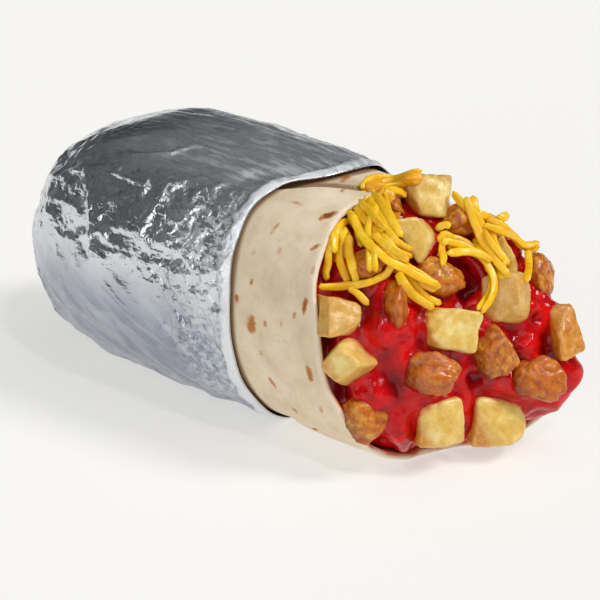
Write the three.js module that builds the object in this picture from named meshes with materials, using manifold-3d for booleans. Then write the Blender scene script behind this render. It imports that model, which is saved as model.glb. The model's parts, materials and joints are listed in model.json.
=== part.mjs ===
// A stuffed burrito lying on its side: a rolled flour tortilla, its closed half wrapped in foil, its open
// end heaped with red sauce, diced potato, sausage crumbles and shredded cheese.
// Millimetres, +Z up. +X runs along the roll towards the open end, and the roll rests on the plane z = 0.
// The pieces are shaped round one axis, then all moved back by MIDDLE, which puts the origin under the
// whole's middle. Angles round the roll are in degrees, from +Y and rising towards +Z.
import * as THREE from "three";
import { mergeVertices } from "three/addons/utils/BufferGeometryUtils.js";
import { ImprovedNoise } from "three/addons/math/ImprovedNoise.js";
import Module from "manifold-3d";

// The roll, whose surface is the outside of the tortilla
const TAIL_X = -81.5;
const CAP_LENGTH = 54;
const CAP_POWER = 2.2;
const ROLL_HALF_WIDTH = 37.5;
const ROLL_HALF_HEIGHT = 36.2;
const TAIL_CENTRE_Z = 30;
const SLIMMING = { from: 0, to: 56, depth: 1.2 };
const SQUARENESS = 2.3;
const REST_FLAT = 1;
const MIDDLE = { x: 4.8, y: 0.1 };
const SWELL = { share: 0.012, length: 26 };

// The tortilla, a sheet rolled once round and over its own start
const SHEET = 1.8;
const LAYER_GAP = 0.5;
const COLUMN = 10;
const OVERLAP = 5 * COLUMN;
const TUCK = { from: 230, to: 345, ahead: 16, past: 8 };
const FREE_EDGE = { inside: 123, mouth: 91, turnsFrom: 0.7 };
const SHEET_TAIL_X = -69;
const SHEET_ROWS = { count: 10, bunching: 1.6 };
const MOUTH_MEAN_X = 56.4;
const MOUTH_WAVES = [[10.5, -14.9], [4.3, -4.4], [0.3, -2.6]];
const MOUTH_RIPPLE = 0.7;

// The foil sleeve, its rim reaching forward at some angles and folded back into a cuff
const FOIL_WALL = 0.9;
const PLAY = 0.7;
const FOIL_MEAN_X = 18;
const FOIL_REACHES = [
  { angle: 80, spread: 26, reach: 7 },
  { angle: 130, spread: 25, reach: -3 },
  { angle: 228, spread: 34, reach: 4 },
];
const CUFF = { width: 5, slope: 1.5, rise: 0.7 };
const CRUMPLE = { height: 0.9, length: 17 };
const PLEATS = { count: 9, depth: 1.3, length: 28 };
const FOIL_ROWS = { outside: 15, inside: 9, bunching: 1.5 };

// The filling, with its heap bulging out of the mouth
const GAP = 0.3;
const MOUTH_CENTRE = new THREE.Vector3(56.5, 0, 37);
const HEAP = { recess: 2.4, bulge: 19, fullness: 0.6, rows: 8, firstRise: 14, lastRise: 86 };
const HEAP_OUT = new THREE.Vector3(0.93, 0.08, 0.22).normalize();
const LUMP = { height: 1.5, length: 9 };

// The two sides that the heap is dressed from. Seen from one, across runs right and up runs up from the
// mouth's centre, in millimetres
const NEAR_SIDE = 39;
const END_SIDE = 140;
const DRESSED_ELEVATION = 23.5;
const LEAST_WAY = 0.5;
const WAY_STEP = 0.04;

// Diced potato: [across, up, wide, tall, turn in its plane, turn to its side]
const DIE = { depth: 11, sunk: 0.5, segments: 3, roundness: 5, skew: 0.2, unevenness: 0.12 };
const POTATOES = {
  [NEAR_SIDE]: [
    [0.5, 33, 12, 11, 20, 25],
    [-3, 23, 15, 8, -52, 15],
    [20, 18, 14, 6, -62, 20],
    [22, 6.5, 11, 14, 8, -30],
    [36.5, -2, 10, 15, 14, 35],
    [6.5, -2.5, 15, 12, -8, 28],
    [-24, 1, 11, 11, 4, 30],
    [-21, -12, 13, 10, 42, -20],
    [4, -27.5, 13, 13, 8, 25],
    [20, -27, 15.5, 13, 4, 32],
  ],
  [END_SIDE]: [
    [17, -6, 12, 12, 25, 0],
    [14, -20, 12, 13, 10, 0],
  ],
};

// Sausage crumbles, in the same terms
const CRUMBLE = { depth: 11, sunk: 0.55, radius: 0.53, detail: 1, knobs: 0.2, form: 0.25 };
const SAUSAGES = {
  [NEAR_SIDE]: [
    [-17, -26, 14, 13, 30, 0],
    [2, -14, 15, 11, -5, 0],
    [19.5, -8.5, 13, 13, -20, 0],
    [31, -16, 13.5, 14, 40, 0],
    [3, 12, 14, 11.5, 15, 0],
    [7, 27, 13, 10, 20, 0],
    [31, 12, 8, 12.5, 10, 0],
    [-15.5, 15, 10, 9, 0, 0],
    [-9.5, 31, 7, 7, 0, 0],
    [-8, 3.5, 6.5, 14, 8, 0],
  ],
  [END_SIDE]: [
    [17, 10, 12, 11, 30, 0],
  ],
};

// Shredded cheese: each strand is the way it lies, in across and up, seen from the near side
const SHRED = { wide: 2.7, thick: 2, stations: 6, clear: 0.6, pressedIn: 0.8, lowest: -6, settling: 3 };
const LEFT_STRANDS = [
  [[-22, 36], [-17, 37], [-12, 36]],
  [[-18, 37], [-21, 33], [-24, 26], [-27, 17], [-26, 10]],
  [[-17, 36], [-15, 30], [-14.5, 22], [-15, 12.5]],
  [[-14, 37], [-12, 30], [-8, 23], [-4, 16.5]],
  [[-12, 36], [-9.5, 30], [-6.5, 25]],
  [[-20, 35], [-20.5, 30], [-18, 24]],
  [[-23, 27], [-22, 18], [-18, 10.5]],
  [[-28, 9], [-20, 9], [-10.5, 12.5]],
  [[-21, 9], [-18, 6], [-14.5, 3.5]],
  [[-12, 26], [-11, 20], [-9, 15]],
  [[-13, 18], [-5, 12.5], [3, 8]],
  [[-10, 16], [-2, 9], [6, 3.5]],
  [[-9, 12.5], [-4, 6], [1, 3]],
  [[-17, 24], [-12, 20], [-6, 19]],
];
const RIGHT_STRANDS = [
  [[12, 34], [13.5, 27], [16.5, 20.5]],
  [[22.5, 29], [18, 27], [14, 24]],
  [[17, 27], [24, 24], [28, 20.5], [32, 20.5]],
  [[28, 21], [28.5, 16], [27.5, 12]],
  [[4, 23], [11, 20.5], [16, 16.5], [18, 11], [14.5, 4]],
  [[16, 24], [19, 18], [23, 12]],
  [[5, 22], [4.5, 17], [3.5, 13.5]],
  [[12, 25], [17, 22], [20, 14]],
  [[7, 26], [3, 24], [0.5, 22]],
];

const rad = THREE.MathUtils.degToRad;
const mix = THREE.MathUtils.lerp;
const step = THREE.MathUtils.smoothstep;
const perlin = new ImprovedNoise();
const wasm = await Module();
wasm.setup();

function numbers(count, from, to) {
  return Array.from({ length: count }, (_, i) => mix(from, to, i / (count - 1)));
}

// Shares from 0 to 1 that lie closer together near 0
function bunched({ count, bunching }) {
  return numbers(count, 0, 1).map((share) => share ** bunching);
}

function aroundFrom(angle) {
  return Array.from({ length: 360 / COLUMN }, (_, i) => angle + i * COLUMN);
}

function wrapped(angle) {
  return ((angle % 360) + 360) % 360;
}

function signedPower(value, power) {
  return Math.sign(value) * Math.abs(value) ** power;
}

// Noise at a point, with features of the given length
function noiseAt(point, length) {
  return perlin.noise(point.x / length, point.y / length, point.z / length);
}

function middleOf(points) {
  return points.reduce((sum, p) => sum.add(p), new THREE.Vector3()).divideScalar(points.length);
}

// Where the tortilla's open rim stands
function mouthX(angle) {
  const t = rad(angle);
  const waves = MOUTH_WAVES.map(([c, s], k) => c * Math.cos((k + 1) * t) + s * Math.sin((k + 1) * t));
  const ripple = MOUTH_RIPPLE * (Math.sin(5 * t + 1) + 0.6 * Math.sin(9 * t));
  return waves.reduce((sum, wave) => sum + wave, MOUTH_MEAN_X + ripple);
}

function foilRimX(angle) {
  const at = wrapped(angle);
  const reaches = FOIL_REACHES.map((r) => r.reach * Math.exp(-(((at - r.angle) / r.spread) ** 2)));
  return reaches.reduce((sum, reach) => sum + reach, FOIL_MEAN_X);
}

// The level of the roll's underside: the foil lifts it inside the sleeve, and past it the roll sags
function undersideZ(x) {
  return (FOIL_WALL + PLAY) * (1 - step(x, FOIL_MEAN_X + 7, FOIL_MEAN_X + 22));
}

// A point of the roll's surface, moved inwards by inset
function rollPoint(x, angle, inset) {
  const along = THREE.MathUtils.clamp((x - TAIL_X - inset) / CAP_LENGTH, 0, 1);
  const round = (1 - (1 - along) ** CAP_POWER) ** (1 / CAP_POWER);
  const slim = SLIMMING.depth * step(x, SLIMMING.from, SLIMMING.to);
  const halfWidth = Math.max(0, (ROLL_HALF_WIDTH - slim - inset) * round);
  const halfHeight = Math.max(0, (ROLL_HALF_HEIGHT - inset) * round);
  const centreZ = mix(TAIL_CENTRE_Z, ROLL_HALF_HEIGHT + undersideZ(x) - REST_FLAT, round);
  const c = Math.cos(rad(angle));
  const s = Math.sin(rad(angle));
  const swell = 1 + SWELL.share * perlin.noise(x / SWELL.length, 1.3 * c + 4, 1.3 * s + 7);
  const y = halfWidth * signedPower(c, 2 / SQUARENESS) * swell;
  const z = centreZ + halfHeight * signedPower(s, 2 / SQUARENESS) * swell;
  return new THREE.Vector3(x, y, Math.max(z, undersideZ(x) + inset));
}

function shapeOf(points, index) {
  const geometry = new THREE.BufferGeometry().setFromPoints(points);
  geometry.setIndex(index);
  return geometry;
}

// A closed shape from rings of points, with both ends fanned shut
function loft(rings) {
  const count = rings[0].length;
  const points = rings.flat();
  const index = [];
  for (let r = 0; r + 1 < rings.length; r += 1) {
    for (let i = 0; i < count; i += 1) {
      const j = (i + 1) % count;
      const [a, b, c, d] = [r * count + i, r * count + j, (r + 1) * count + j, (r + 1) * count + i];
      index.push(a, b, c, a, c, d);
    }
  }
  for (const [r, forward] of [[0, false], [rings.length - 1, true]]) {
    const middle = points.length;
    points.push(middleOf(rings[r]));
    for (let i = 0; i < count; i += 1) {
      const [a, b] = [r * count + i, r * count + ((i + 1) % count)];
      index.push(middle, forward ? a : b, forward ? b : a);
    }
  }
  return shapeOf(points, index);
}

// A closed shape from two matching grids of points, a sheet's outer face and its inner face
function slab(outer, inner) {
  const [rows, columns] = [outer.length, outer[0].length];
  const over = (r, i) => r * columns + i;
  const under = (r, i) => (rows + r) * columns + i;
  const index = [];
  const quad = (a, b, c, d) => index.push(a, b, c, a, c, d);
  const last = columns - 1;
  for (let r = 0; r + 1 < rows; r += 1) {
    for (let i = 0; i < last; i += 1) {
      quad(over(r, i), over(r, i + 1), over(r + 1, i + 1), over(r + 1, i));
      quad(under(r, i), under(r + 1, i), under(r + 1, i + 1), under(r, i + 1));
    }
    quad(over(r, 0), over(r + 1, 0), under(r + 1, 0), under(r, 0));
    quad(over(r + 1, last), over(r, last), under(r, last), under(r + 1, last));
  }
  for (let i = 0; i < last; i += 1) {
    quad(over(0, i + 1), over(0, i), under(0, i), under(0, i + 1));
    quad(over(rows - 1, i), over(rows - 1, i + 1), under(rows - 1, i + 1), under(rows - 1, i));
  }
  return shapeOf([...outer.flat(), ...inner.flat()], index);
}

function toSolid(geometry) {
  const bare = new THREE.BufferGeometry();
  bare.setAttribute("position", geometry.getAttribute("position").clone());
  bare.setIndex(geometry.index);
  const merged = mergeVertices(bare, 1e-4);
  const vertProperties = new Float32Array(merged.attributes.position.array);
  const triVerts = new Uint32Array(merged.index.array);
  return new wasm.Manifold(new wasm.Mesh({ numProp: 3, vertProperties, triVerts }));
}

function toGeometry(solid) {
  const { numProp, vertProperties, triVerts } = solid.getMesh();
  const points = [];
  for (let i = 0; i < vertProperties.length; i += numProp) {
    points.push(new THREE.Vector3(vertProperties[i], vertProperties[i + 1], vertProperties[i + 2]));
  }
  return shapeOf(points, [...triVerts]);
}

function cutBy(solid, others) {
  const left = others.reduce((rest, other) => rest.subtract(other), solid);
  return left.decompose().reduce((best, piece) => (piece.volume() > best.volume() ? piece : best));
}

// Where the tortilla's free edge runs, for a share of the way from the sheet's tail to its mouth
function freeEdgeAngle(share) {
  const turned = Math.max(0, share - FREE_EDGE.turnsFrom) / (1 - FREE_EDGE.turnsFrom);
  return mix(FREE_EDGE.inside, FREE_EDGE.mouth, turned);
}

// The sheet, thickened by extra on every side. It dives under before it comes round to its free edge
function tortillaGeometry(extra = 0) {
  const gone = numbers((360 + OVERLAP) / COLUMN + 1, 0, 360 + OVERLAP);
  const face = (inset) =>
    bunched(SHEET_ROWS).map((share) =>
      gone.map((turned) => {
        const angle = freeEdgeAngle(share) + turned;
        const x = mix(SHEET_TAIL_X - extra, mouthX(angle) + extra, share);
        return rollPoint(x, angle, inset + (SHEET + LAYER_GAP) * step(turned, TUCK.from, TUCK.to));
      }),
    );
  return slab(face(-extra), face(SHEET + extra));
}

// How far the filling lies in from the roll's surface, inside one or two layers of tortilla
function fillingInset(share, angle) {
  const gone = wrapped(angle - freeEdgeAngle(share));
  const underLap = 1 - step(gone, OVERLAP + TUCK.past, OVERLAP + TUCK.past + TUCK.ahead);
  const intoTuck = step(gone, TUCK.from - TUCK.ahead, TUCK.to - TUCK.ahead);
  return SHEET + 2 * GAP + (SHEET + LAYER_GAP) * Math.max(underLap, intoTuck);
}

// The filling, larger by extra all round: a plug inside the tortilla and a lumpy heap in front of it
function fillingGeometry(extra = 0) {
  const plug = bunched(SHEET_ROWS).map((share) =>
    aroundFrom(freeEdgeAngle(share)).map((angle) => {
      const x = mix(SHEET_TAIL_X + 1, mouthX(angle) - HEAP.recess, share);
      return rollPoint(x, angle, fillingInset(share, angle) - extra);
    }),
  );
  const rim = plug.at(-1);
  const middle = middleOf(rim);
  const heap = numbers(HEAP.rows, HEAP.firstRise, HEAP.lastRise).map((rise) =>
    rim.map((p) => {
      const q = middle.clone().lerp(p, Math.cos(rad(rise)) ** HEAP.fullness);
      const out = (HEAP.bulge + LUMP.height * noiseAt(q, LUMP.length)) * Math.sin(rad(rise));
      return q.addScaledVector(HEAP_OUT, out + extra);
    }),
  );
  return loft([...plug, ...heap]);
}

// How far the foil's crumples, tail pleats and cuff stand out at a point of its outer face
function foilRelief(p, angle, share) {
  const crest = Math.max(0, 1 - 2 * Math.abs(noiseAt(p, CRUMPLE.length)));
  const pleat = Math.abs(Math.sin((rad(angle) * PLEATS.count) / 2));
  const tail = 1 - step(p.x, TAIL_X + 4, TAIL_X + PLEATS.length);
  const cuffX = foilRimX(angle) - CUFF.width;
  const cuff = CUFF.rise * step(p.x, cuffX - CUFF.slope, cuffX);
  const fromTip = Math.min(1, 11 * share);
  return fromTip * (CRUMPLE.height * crest + PLEATS.depth * pleat * tail) + cuff;
}

function foilGeometry() {
  const angles = aroundFrom(0);
  const outerTail = TAIL_X - PLAY - FOIL_WALL;
  const bodyRows = bunched({ count: FOIL_ROWS.outside, bunching: FOIL_ROWS.bunching }).slice(1);
  const bodyX = (share) => (angle) => mix(outerTail, foilRimX(angle) - CUFF.width - CUFF.slope, share);
  const rows = [
    ...bodyRows.map((share) => ({ share, xAt: bodyX(share) })),
    { share: 1, xAt: (angle) => foilRimX(angle) - CUFF.width },
    { share: 1, xAt: foilRimX },
  ];
  const outer = rows.map(({ share, xAt }) =>
    angles.map((angle) => {
      const p = rollPoint(xAt(angle), angle, -PLAY - FOIL_WALL);
      const outwards = new THREE.Vector3(0, p.y, p.z - ROLL_HALF_HEIGHT).normalize();
      p.addScaledVector(outwards, foilRelief(p, angle, share));
      p.z = Math.max(p.z, 0);
      return p;
    }),
  );
  const insideRows = bunched({ count: FOIL_ROWS.inside, bunching: FOIL_ROWS.bunching }).slice(1).reverse();
  const inner = [...insideRows, insideRows.at(-1) / 4].map((share) =>
    angles.map((angle) => rollPoint(mix(TAIL_X - PLAY, foilRimX(angle), share), angle, -PLAY)),
  );
  return loft([...outer, ...inner]);
}

// The frame of one side that the heap is dressed from
function sideFrame(azimuth) {
  const [a, e] = [rad(azimuth), rad(DRESSED_ELEVATION)];
  const out = new THREE.Vector3(Math.sin(a) * Math.cos(e), -Math.cos(a) * Math.cos(e), Math.sin(e));
  const right = new THREE.Vector3(Math.cos(a), Math.sin(a), 0);
  const up = out.clone().cross(right);
  const at = (x, y, z) =>
    MOUTH_CENTRE.clone().addScaledVector(right, x).addScaledVector(up, y).addScaledVector(out, z);
  const levelOf = (p) => p.clone().sub(MOUTH_CENTRE).dot(out);
  return { out, right, up, at, levelOf };
}

// The level of the meshes' outermost point at across and up. Past their outline it is the first found on
// the way to the middle, down to the least share of that way, else null
function levelAt(meshes, side, across, up, least = 1) {
  for (let share = 1; share >= least; share -= WAY_STEP) {
    const ray = new THREE.Raycaster(side.at(across * share, up * share, 200), side.out.clone().negate());
    const [hit] = ray.intersectObjects(meshes, false);
    if (hit) return side.levelOf(hit.point);
  }
  return null;
}

// Moves every vertex of a geometry by a function of its place
function reshaped(geometry, move) {
  const position = geometry.getAttribute("position");
  for (let i = 0; i < position.count; i += 1) {
    const v = move(new THREE.Vector3().fromBufferAttribute(position, i));
    position.setXYZ(i, v.x, v.y, v.z);
  }
  return geometry;
}

// A die of unit size with worn corners, a little out of true
function dieGeometry(seed) {
  const n = DIE.segments;
  return reshaped(new THREE.BoxGeometry(1, 1, 1, n, n, n), (v) => {
    const sides = v.toArray().map(Math.abs);
    const rounded = sides.reduce((sum, side) => sum + side ** DIE.roundness, 0) ** (1 / DIE.roundness);
    v.multiplyScalar(Math.max(...sides) / rounded);
    v.x += DIE.skew * v.y * perlin.noise(seed * 3.1, 0.4, 0.7);
    v.y += DIE.skew * v.z * perlin.noise(0.3, seed * 2.7, 0.1);
    const uneven = perlin.noise(v.x * 2 + seed * 5.3, v.y * 2, v.z * 2);
    return v.multiplyScalar(1 + DIE.unevenness * uneven);
  });
}

// A crumble of minced meat of unit size, with knobs and dents
function crumbleGeometry(seed) {
  return reshaped(new THREE.IcosahedronGeometry(CRUMBLE.radius, CRUMBLE.detail), (v) => {
    const knob = perlin.noise(v.x * 4 + seed * 7.7, v.y * 4 + 3.3, v.z * 4);
    const form = perlin.noise(v.x * 1.8 + seed * 2.2, v.y * 1.8, v.z * 1.8 + 5.1);
    return v.multiplyScalar(1 + CRUMBLE.knobs * knob + CRUMBLE.form * form);
  });
}

// Sets a unit shape on the heap at the size and place of its row, sunk by a share of its depth
function seated(unit, [across, up, wide, tall, turn, sideTurn], azimuth, kind, heap) {
  const side = sideFrame(azimuth);
  const level = levelAt([heap], side, across, up, LEAST_WAY) + kind.depth * (0.5 - kind.sunk);
  const place = new THREE.Matrix4().makeBasis(side.right, side.up, side.out);
  place.multiply(new THREE.Matrix4().makeRotationZ(rad(turn)));
  place.multiply(new THREE.Matrix4().makeRotationY(rad(sideTurn)));
  place.multiply(new THREE.Matrix4().makeScale(wide, tall, kind.depth));
  const centre = side.at(across, up, level);
  place.setPosition(centre);
  return { geometry: unit.applyMatrix4(place), centre };
}

// The room that a seated chunk takes up, with the gap to its neighbours
function roomOf({ geometry, centre }) {
  const grown = geometry.clone().translate(-centre.x, -centre.y, -centre.z);
  grown.computeBoundingSphere();
  const share = 1 + (1.7 * GAP) / grown.boundingSphere.radius;
  return toSolid(grown.scale(share, share, share).translate(centre.x, centre.y, centre.z));
}

// The level of each station of a strand: on the heap and the chunks, and pressed into strands below it
function strandLevels(flat, ahead, side, base, laid) {
  const level = flat.map(({ x, y }, k) => {
    const rises = [-0.45, 0, 0.45].flatMap((share) => {
      const across = x - ahead[k].y * share * SHRED.wide;
      const up = y + ahead[k].x * share * SHRED.wide;
      const other = levelAt(laid, side, across, up);
      const ground = levelAt(base, side, across, up, LEAST_WAY) + SHRED.clear;
      return other === null ? [ground] : [ground, other - SHRED.pressedIn];
    });
    return Math.max(SHRED.lowest, ...rises) + SHRED.thick / 2;
  });
  for (let pass = 0; pass < SHRED.settling; pass += 1) {
    for (let k = 1; k + 1 < level.length; k += 1) {
      level[k] = Math.max(level[k], (level[k - 1] + level[k + 1]) / 2);
    }
  }
  return level;
}

function directionsAlong(points) {
  const end = points.length - 1;
  const next = (k) => points[Math.min(k + 1, end)].clone();
  return points.map((_, k) => next(k).sub(points[Math.max(k - 1, 0)]).normalize());
}

function strandGeometry(way, base, laid) {
  const side = sideFrame(NEAR_SIDE);
  const curve = new THREE.CatmullRomCurve3(way.map(([across, up]) => new THREE.Vector3(across, up, 0)));
  const flat = curve.getSpacedPoints(SHRED.stations - 1);
  const level = strandLevels(flat, directionsAlong(flat), side, base, laid);
  const centres = flat.map(({ x, y }, k) => side.at(x, y, level[k]));
  const ahead = directionsAlong(centres);
  const rings = centres.map((centre, k) => {
    const wide = side.out.clone().cross(ahead[k]).normalize();
    const thick = ahead[k].clone().cross(wide).normalize();
    wide.multiplyScalar(SHRED.wide / 2);
    thick.multiplyScalar(SHRED.thick / 2);
    const corner = (a, b) => centre.clone().addScaledVector(wide, a).addScaledVector(thick, b);
    return [corner(1, -1), corner(1, 1), corner(-1, 1), corner(-1, -1)];
  });
  return loft(rings);
}

function cheeseGeometry(ways, base, keepOut) {
  const laid = [];
  for (const way of ways) {
    laid.push(new THREE.Mesh(strandGeometry(way, base, laid)));
  }
  const heap = laid.map((mesh) => toSolid(mesh.geometry)).reduce((sum, strand) => sum.add(strand));
  return toGeometry(cutBy(heap, keepOut));
}

const burrito = new THREE.Group();
burrito.name = "burrito";
burrito.position.set(-MIDDLE.x, -MIDDLE.y, 0);

function material(color, roughness, metalness = 0) {
  return new THREE.MeshStandardMaterial({ color, roughness, metalness });
}

const foilLook = material("#aeb3bb", 0.25, 1);
const tortillaLook = material("#d9c9ad", 0.85);
const sauceLook = material("#c4161c", 0.25);
const potatoLook = material("#e3c36d", 0.5);
const sausageLook = material("#a5683a", 0.45);
const cheeseLook = material("#eeb81f", 0.45);

function addPiece(name, geometry, look) {
  geometry.computeVertexNormals();
  const mesh = new THREE.Mesh(geometry, look);
  mesh.name = name;
  burrito.add(mesh);
  return mesh;
}

addPiece("foil_wrap", foilGeometry(), foilLook);
const tortilla = addPiece("tortilla", tortillaGeometry(), tortillaLook);
const wholeFilling = new THREE.Mesh(fillingGeometry());
const wall = toSolid(tortillaGeometry(GAP)).add(toSolid(tortilla.geometry));

// Every chunk is cut clear of the tortilla and of the chunks that were seated before it
const chunks = [];
const rooms = [];

function addChunks(name, rowsBySide, unitFor, kind, look) {
  let number = 0;
  for (const azimuth of [NEAR_SIDE, END_SIDE]) {
    for (const row of rowsBySide[azimuth]) {
      number += 1;
      const chunk = seated(unitFor(number), row, azimuth, kind, wholeFilling);
      const solid = cutBy(toSolid(chunk.geometry), [wall, ...rooms]);
      chunks.push(addPiece(`${name}_${number}`, toGeometry(solid), look));
      rooms.push(roomOf(chunk));
    }
  }
}

addChunks("potato", POTATOES, dieGeometry, DIE, potatoLook);
addChunks("sausage", SAUSAGES, crumbleGeometry, CRUMBLE, sausageLook);
addPiece("filling", toGeometry(cutBy(toSolid(wholeFilling.geometry), rooms)), sauceLook);

const ground = [wholeFilling, tortilla, ...chunks];
const keepOut = [wall, toSolid(fillingGeometry(GAP)), ...rooms];
addPiece("cheese_left", cheeseGeometry(LEFT_STRANDS, ground, keepOut), cheeseLook);
addPiece("cheese_right", cheeseGeometry(RIGHT_STRANDS, ground, keepOut), cheeseLook);

export default burrito;
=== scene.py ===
"""The looks of a stuffed burrito lying on its side, half wrapped in foil, its open end heaped with food.

Shapes are worked out in millimetres and in the roll's own axes,
then moved to the frame and scaled to metres.
x runs along the roll towards the open end. Angles round the roll are in degrees, from +Y rising to +Z.
"""

import json
import math

import bpy
import numpy as np
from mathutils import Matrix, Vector
from mathutils.bvhtree import BVHTree

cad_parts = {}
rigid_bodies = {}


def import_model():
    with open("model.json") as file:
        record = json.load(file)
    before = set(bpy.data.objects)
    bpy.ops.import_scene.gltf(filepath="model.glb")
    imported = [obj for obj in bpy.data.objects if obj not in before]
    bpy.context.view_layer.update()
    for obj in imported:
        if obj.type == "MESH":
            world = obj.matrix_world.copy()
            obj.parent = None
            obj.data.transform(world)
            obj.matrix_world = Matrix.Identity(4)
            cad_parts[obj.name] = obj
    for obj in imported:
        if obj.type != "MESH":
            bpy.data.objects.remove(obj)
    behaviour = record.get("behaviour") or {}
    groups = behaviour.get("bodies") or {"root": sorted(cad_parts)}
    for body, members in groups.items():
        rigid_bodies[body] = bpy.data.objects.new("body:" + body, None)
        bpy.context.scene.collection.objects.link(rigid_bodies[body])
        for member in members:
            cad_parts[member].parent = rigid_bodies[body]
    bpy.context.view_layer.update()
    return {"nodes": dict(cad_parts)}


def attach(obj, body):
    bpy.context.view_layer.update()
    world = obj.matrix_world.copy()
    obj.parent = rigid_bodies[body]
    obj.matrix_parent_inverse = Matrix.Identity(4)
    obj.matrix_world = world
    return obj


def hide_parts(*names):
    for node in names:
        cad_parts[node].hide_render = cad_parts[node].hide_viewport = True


MM = 0.001
MIDDLE = np.array([4.8, 0.1, 0.0])

# The roll, whose surface is the outside of the tortilla
TAIL_X = -81.5
CAP_LENGTH = 54.0
CAP_POWER = 2.2
ROLL_HALF_WIDTH = 37.5
ROLL_HALF_HEIGHT = 36.2
TAIL_CENTRE_Z = 30.0
SLIMMING = 1.2
SLIM_X = 56.0
SQUARENESS = 2.3
REST_FLAT = 1.0
SWELL = 0.012
SWELL_LENGTH = 26.0
# The radius that turns degrees round the roll into millimetres
ARC_RADIUS = 36
# How far above the floor every point stays
FLOOR_GAP = 0.02

# The tortilla sheet
SHEET = 1.8
LAYER_GAP = 0.5
OVERLAP = 50.0
TUCK_FROM, TUCK_TO = 230.0, 345.0
EDGE_INSIDE, EDGE_MOUTH, EDGE_TURNS = 123.0, 91.0, 0.7
LAP_RECESS = 4.5
SHEET_TAIL_X = -69.0
MOUTH_MEAN_X = 56.4
MOUTH_WAVES = ((10.5, -14.9), (4.3, -4.4), (0.3, -2.6))
MOUTH_RIPPLE = 0.7

# The foil sleeve
FOIL_WALL = 0.9
PLAY = 0.7
FOIL_MEAN_X = 18.0
FOIL_REACHES = ((80.0, 26.0, 7.0), (130.0, 25.0, -3.0), (228.0, 34.0, 4.0))
CUFF_WIDTH = 2.9
CUFF_RISE = 0.45
CUFF_DROP = 0.85
CUFF_DIP = 0.75

# The heap of filling in front of the mouth
HEAP_RECESS = 2.4
HEAP_BULGE = 19.0
HEAP_FULLNESS = 0.6
MOUTH_CENTRE = np.array([56.5, 0.0, 37.0])
HEAP_OUT = np.array([0.93, 0.08, 0.22])
HEAP_OUT = HEAP_OUT / np.linalg.norm(HEAP_OUT)

NEAR_SIDE, END_SIDE = 39.0, 140.0
DRESSED_ELEVATION = 23.5

# Diced potato: across, up, wide, tall, turn in its plane, turn to its side
POTATOES = {
    NEAR_SIDE: (
        (0.4, 34.2, 14.8, 13.0, 8, 15),
        (-3, 23.2, 15.5, 9, -52, 15),
        (20.5, 17.5, 15.5, 7, -62, 20),
        (22, 6.5, 11.5, 14.5, 8, -30),
        (37.2, -2, 10.5, 16.5, 12, 35),
        (6.4, -2.4, 17, 13, -10, 24),
        (-24, 1, 12, 12, 4, 30),
        (-21, -12, 14, 11.5, 42, -20),
        (4, -27.5, 14, 13.8, 8, 25),
        (20.4, -27.2, 17.6, 14.5, 0, 24),
    ),
    END_SIDE: ((17, -6, 12, 12, 25, 0), (14, -20, 12, 13, 10, 0)),
}
SAUSAGES = {
    NEAR_SIDE: (
        (-16, -26, 17, 14.5, 30, 0),
        (1.4, -14, 17, 12, -5, 0),
        (19.2, -8.3, 14, 14.5, -20, 0),
        (30.8, -15.6, 15, 15.5, 40, 0),
        (3, 12, 14, 11.5, 15, 0),
        (7, 27, 13, 10, 20, 0),
        (31, 12.4, 9.5, 15, 10, 0),
        (-15.5, 15, 10, 9, 0, 0),
        (-9.5, 31, 7, 7, 0, 0),
        (-8, 3.8, 7.6, 14.5, 8, 10),
    ),
    END_SIDE: ((17, 10, 12, 11, 30, 0),),
}
CHUNK_DEPTH = 11.0
# Chunks that are more golden all over than the rest
GOLDEN = {
    "potato_4": 0.45, "potato_5": 1.0, "potato_7": 0.5,
    "sausage_2": 0.6, "sausage_4": 0.6, "sausage_8": 0.5, "sausage_10": 0.7,
}

# Where rays towards the heap start, in front of it
RAY_START = 200.0


def unit(rows):
    return rows / np.maximum(np.linalg.norm(rows, axis=-1, keepdims=True), 1e-9)


# Noise

rng = np.random.default_rng(11)
GRADIENT_COUNT = 4096
GRADIENTS = unit(rng.normal(size=(GRADIENT_COUNT, 3)))
JITTERS = rng.uniform(-1, 1, size=(GRADIENT_COUNT, 3))


def smoothstep(value, low, high):
    t = np.clip((value - low) / (high - low), 0, 1)
    return t * t * (3 - 2 * t)


def hashed(cells, seed):
    """A number below GRADIENT_COUNT for each whole-number cell."""
    x, y, z = cells[:, 0], cells[:, 1], cells[:, 2]
    h = (x * 73856093) ^ (y * 19349663) ^ (z * 83492791) ^ (seed * 40503 + 977)
    h = (h ^ (h >> 13)) * 1274126177
    return (h ^ (h >> 16)) & (GRADIENT_COUNT - 1)


def noise(points, length, seed=0):
    """Smooth noise of about -1 to 1, with features of the given length."""
    p = points / length
    cell = np.floor(p).astype(np.int64)
    f = p - cell
    fade = f * f * f * (f * (f * 6 - 15) + 10)
    total = np.zeros(len(p))
    for corner in np.ndindex(2, 2, 2):
        c = np.array(corner)
        slope = GRADIENTS[hashed(cell + c, seed)]
        weight = np.prod(np.where(c == 1, fade, 1 - fade), axis=1)
        total += weight * ((f - c) * slope).sum(1)
    return total * 1.6


def fractal(points, length, seed):
    total = np.zeros(len(points))
    for k in range(3):
        total += 0.5**k * noise(points, length / 2**k, seed + 31 * k)
    return total


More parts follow.
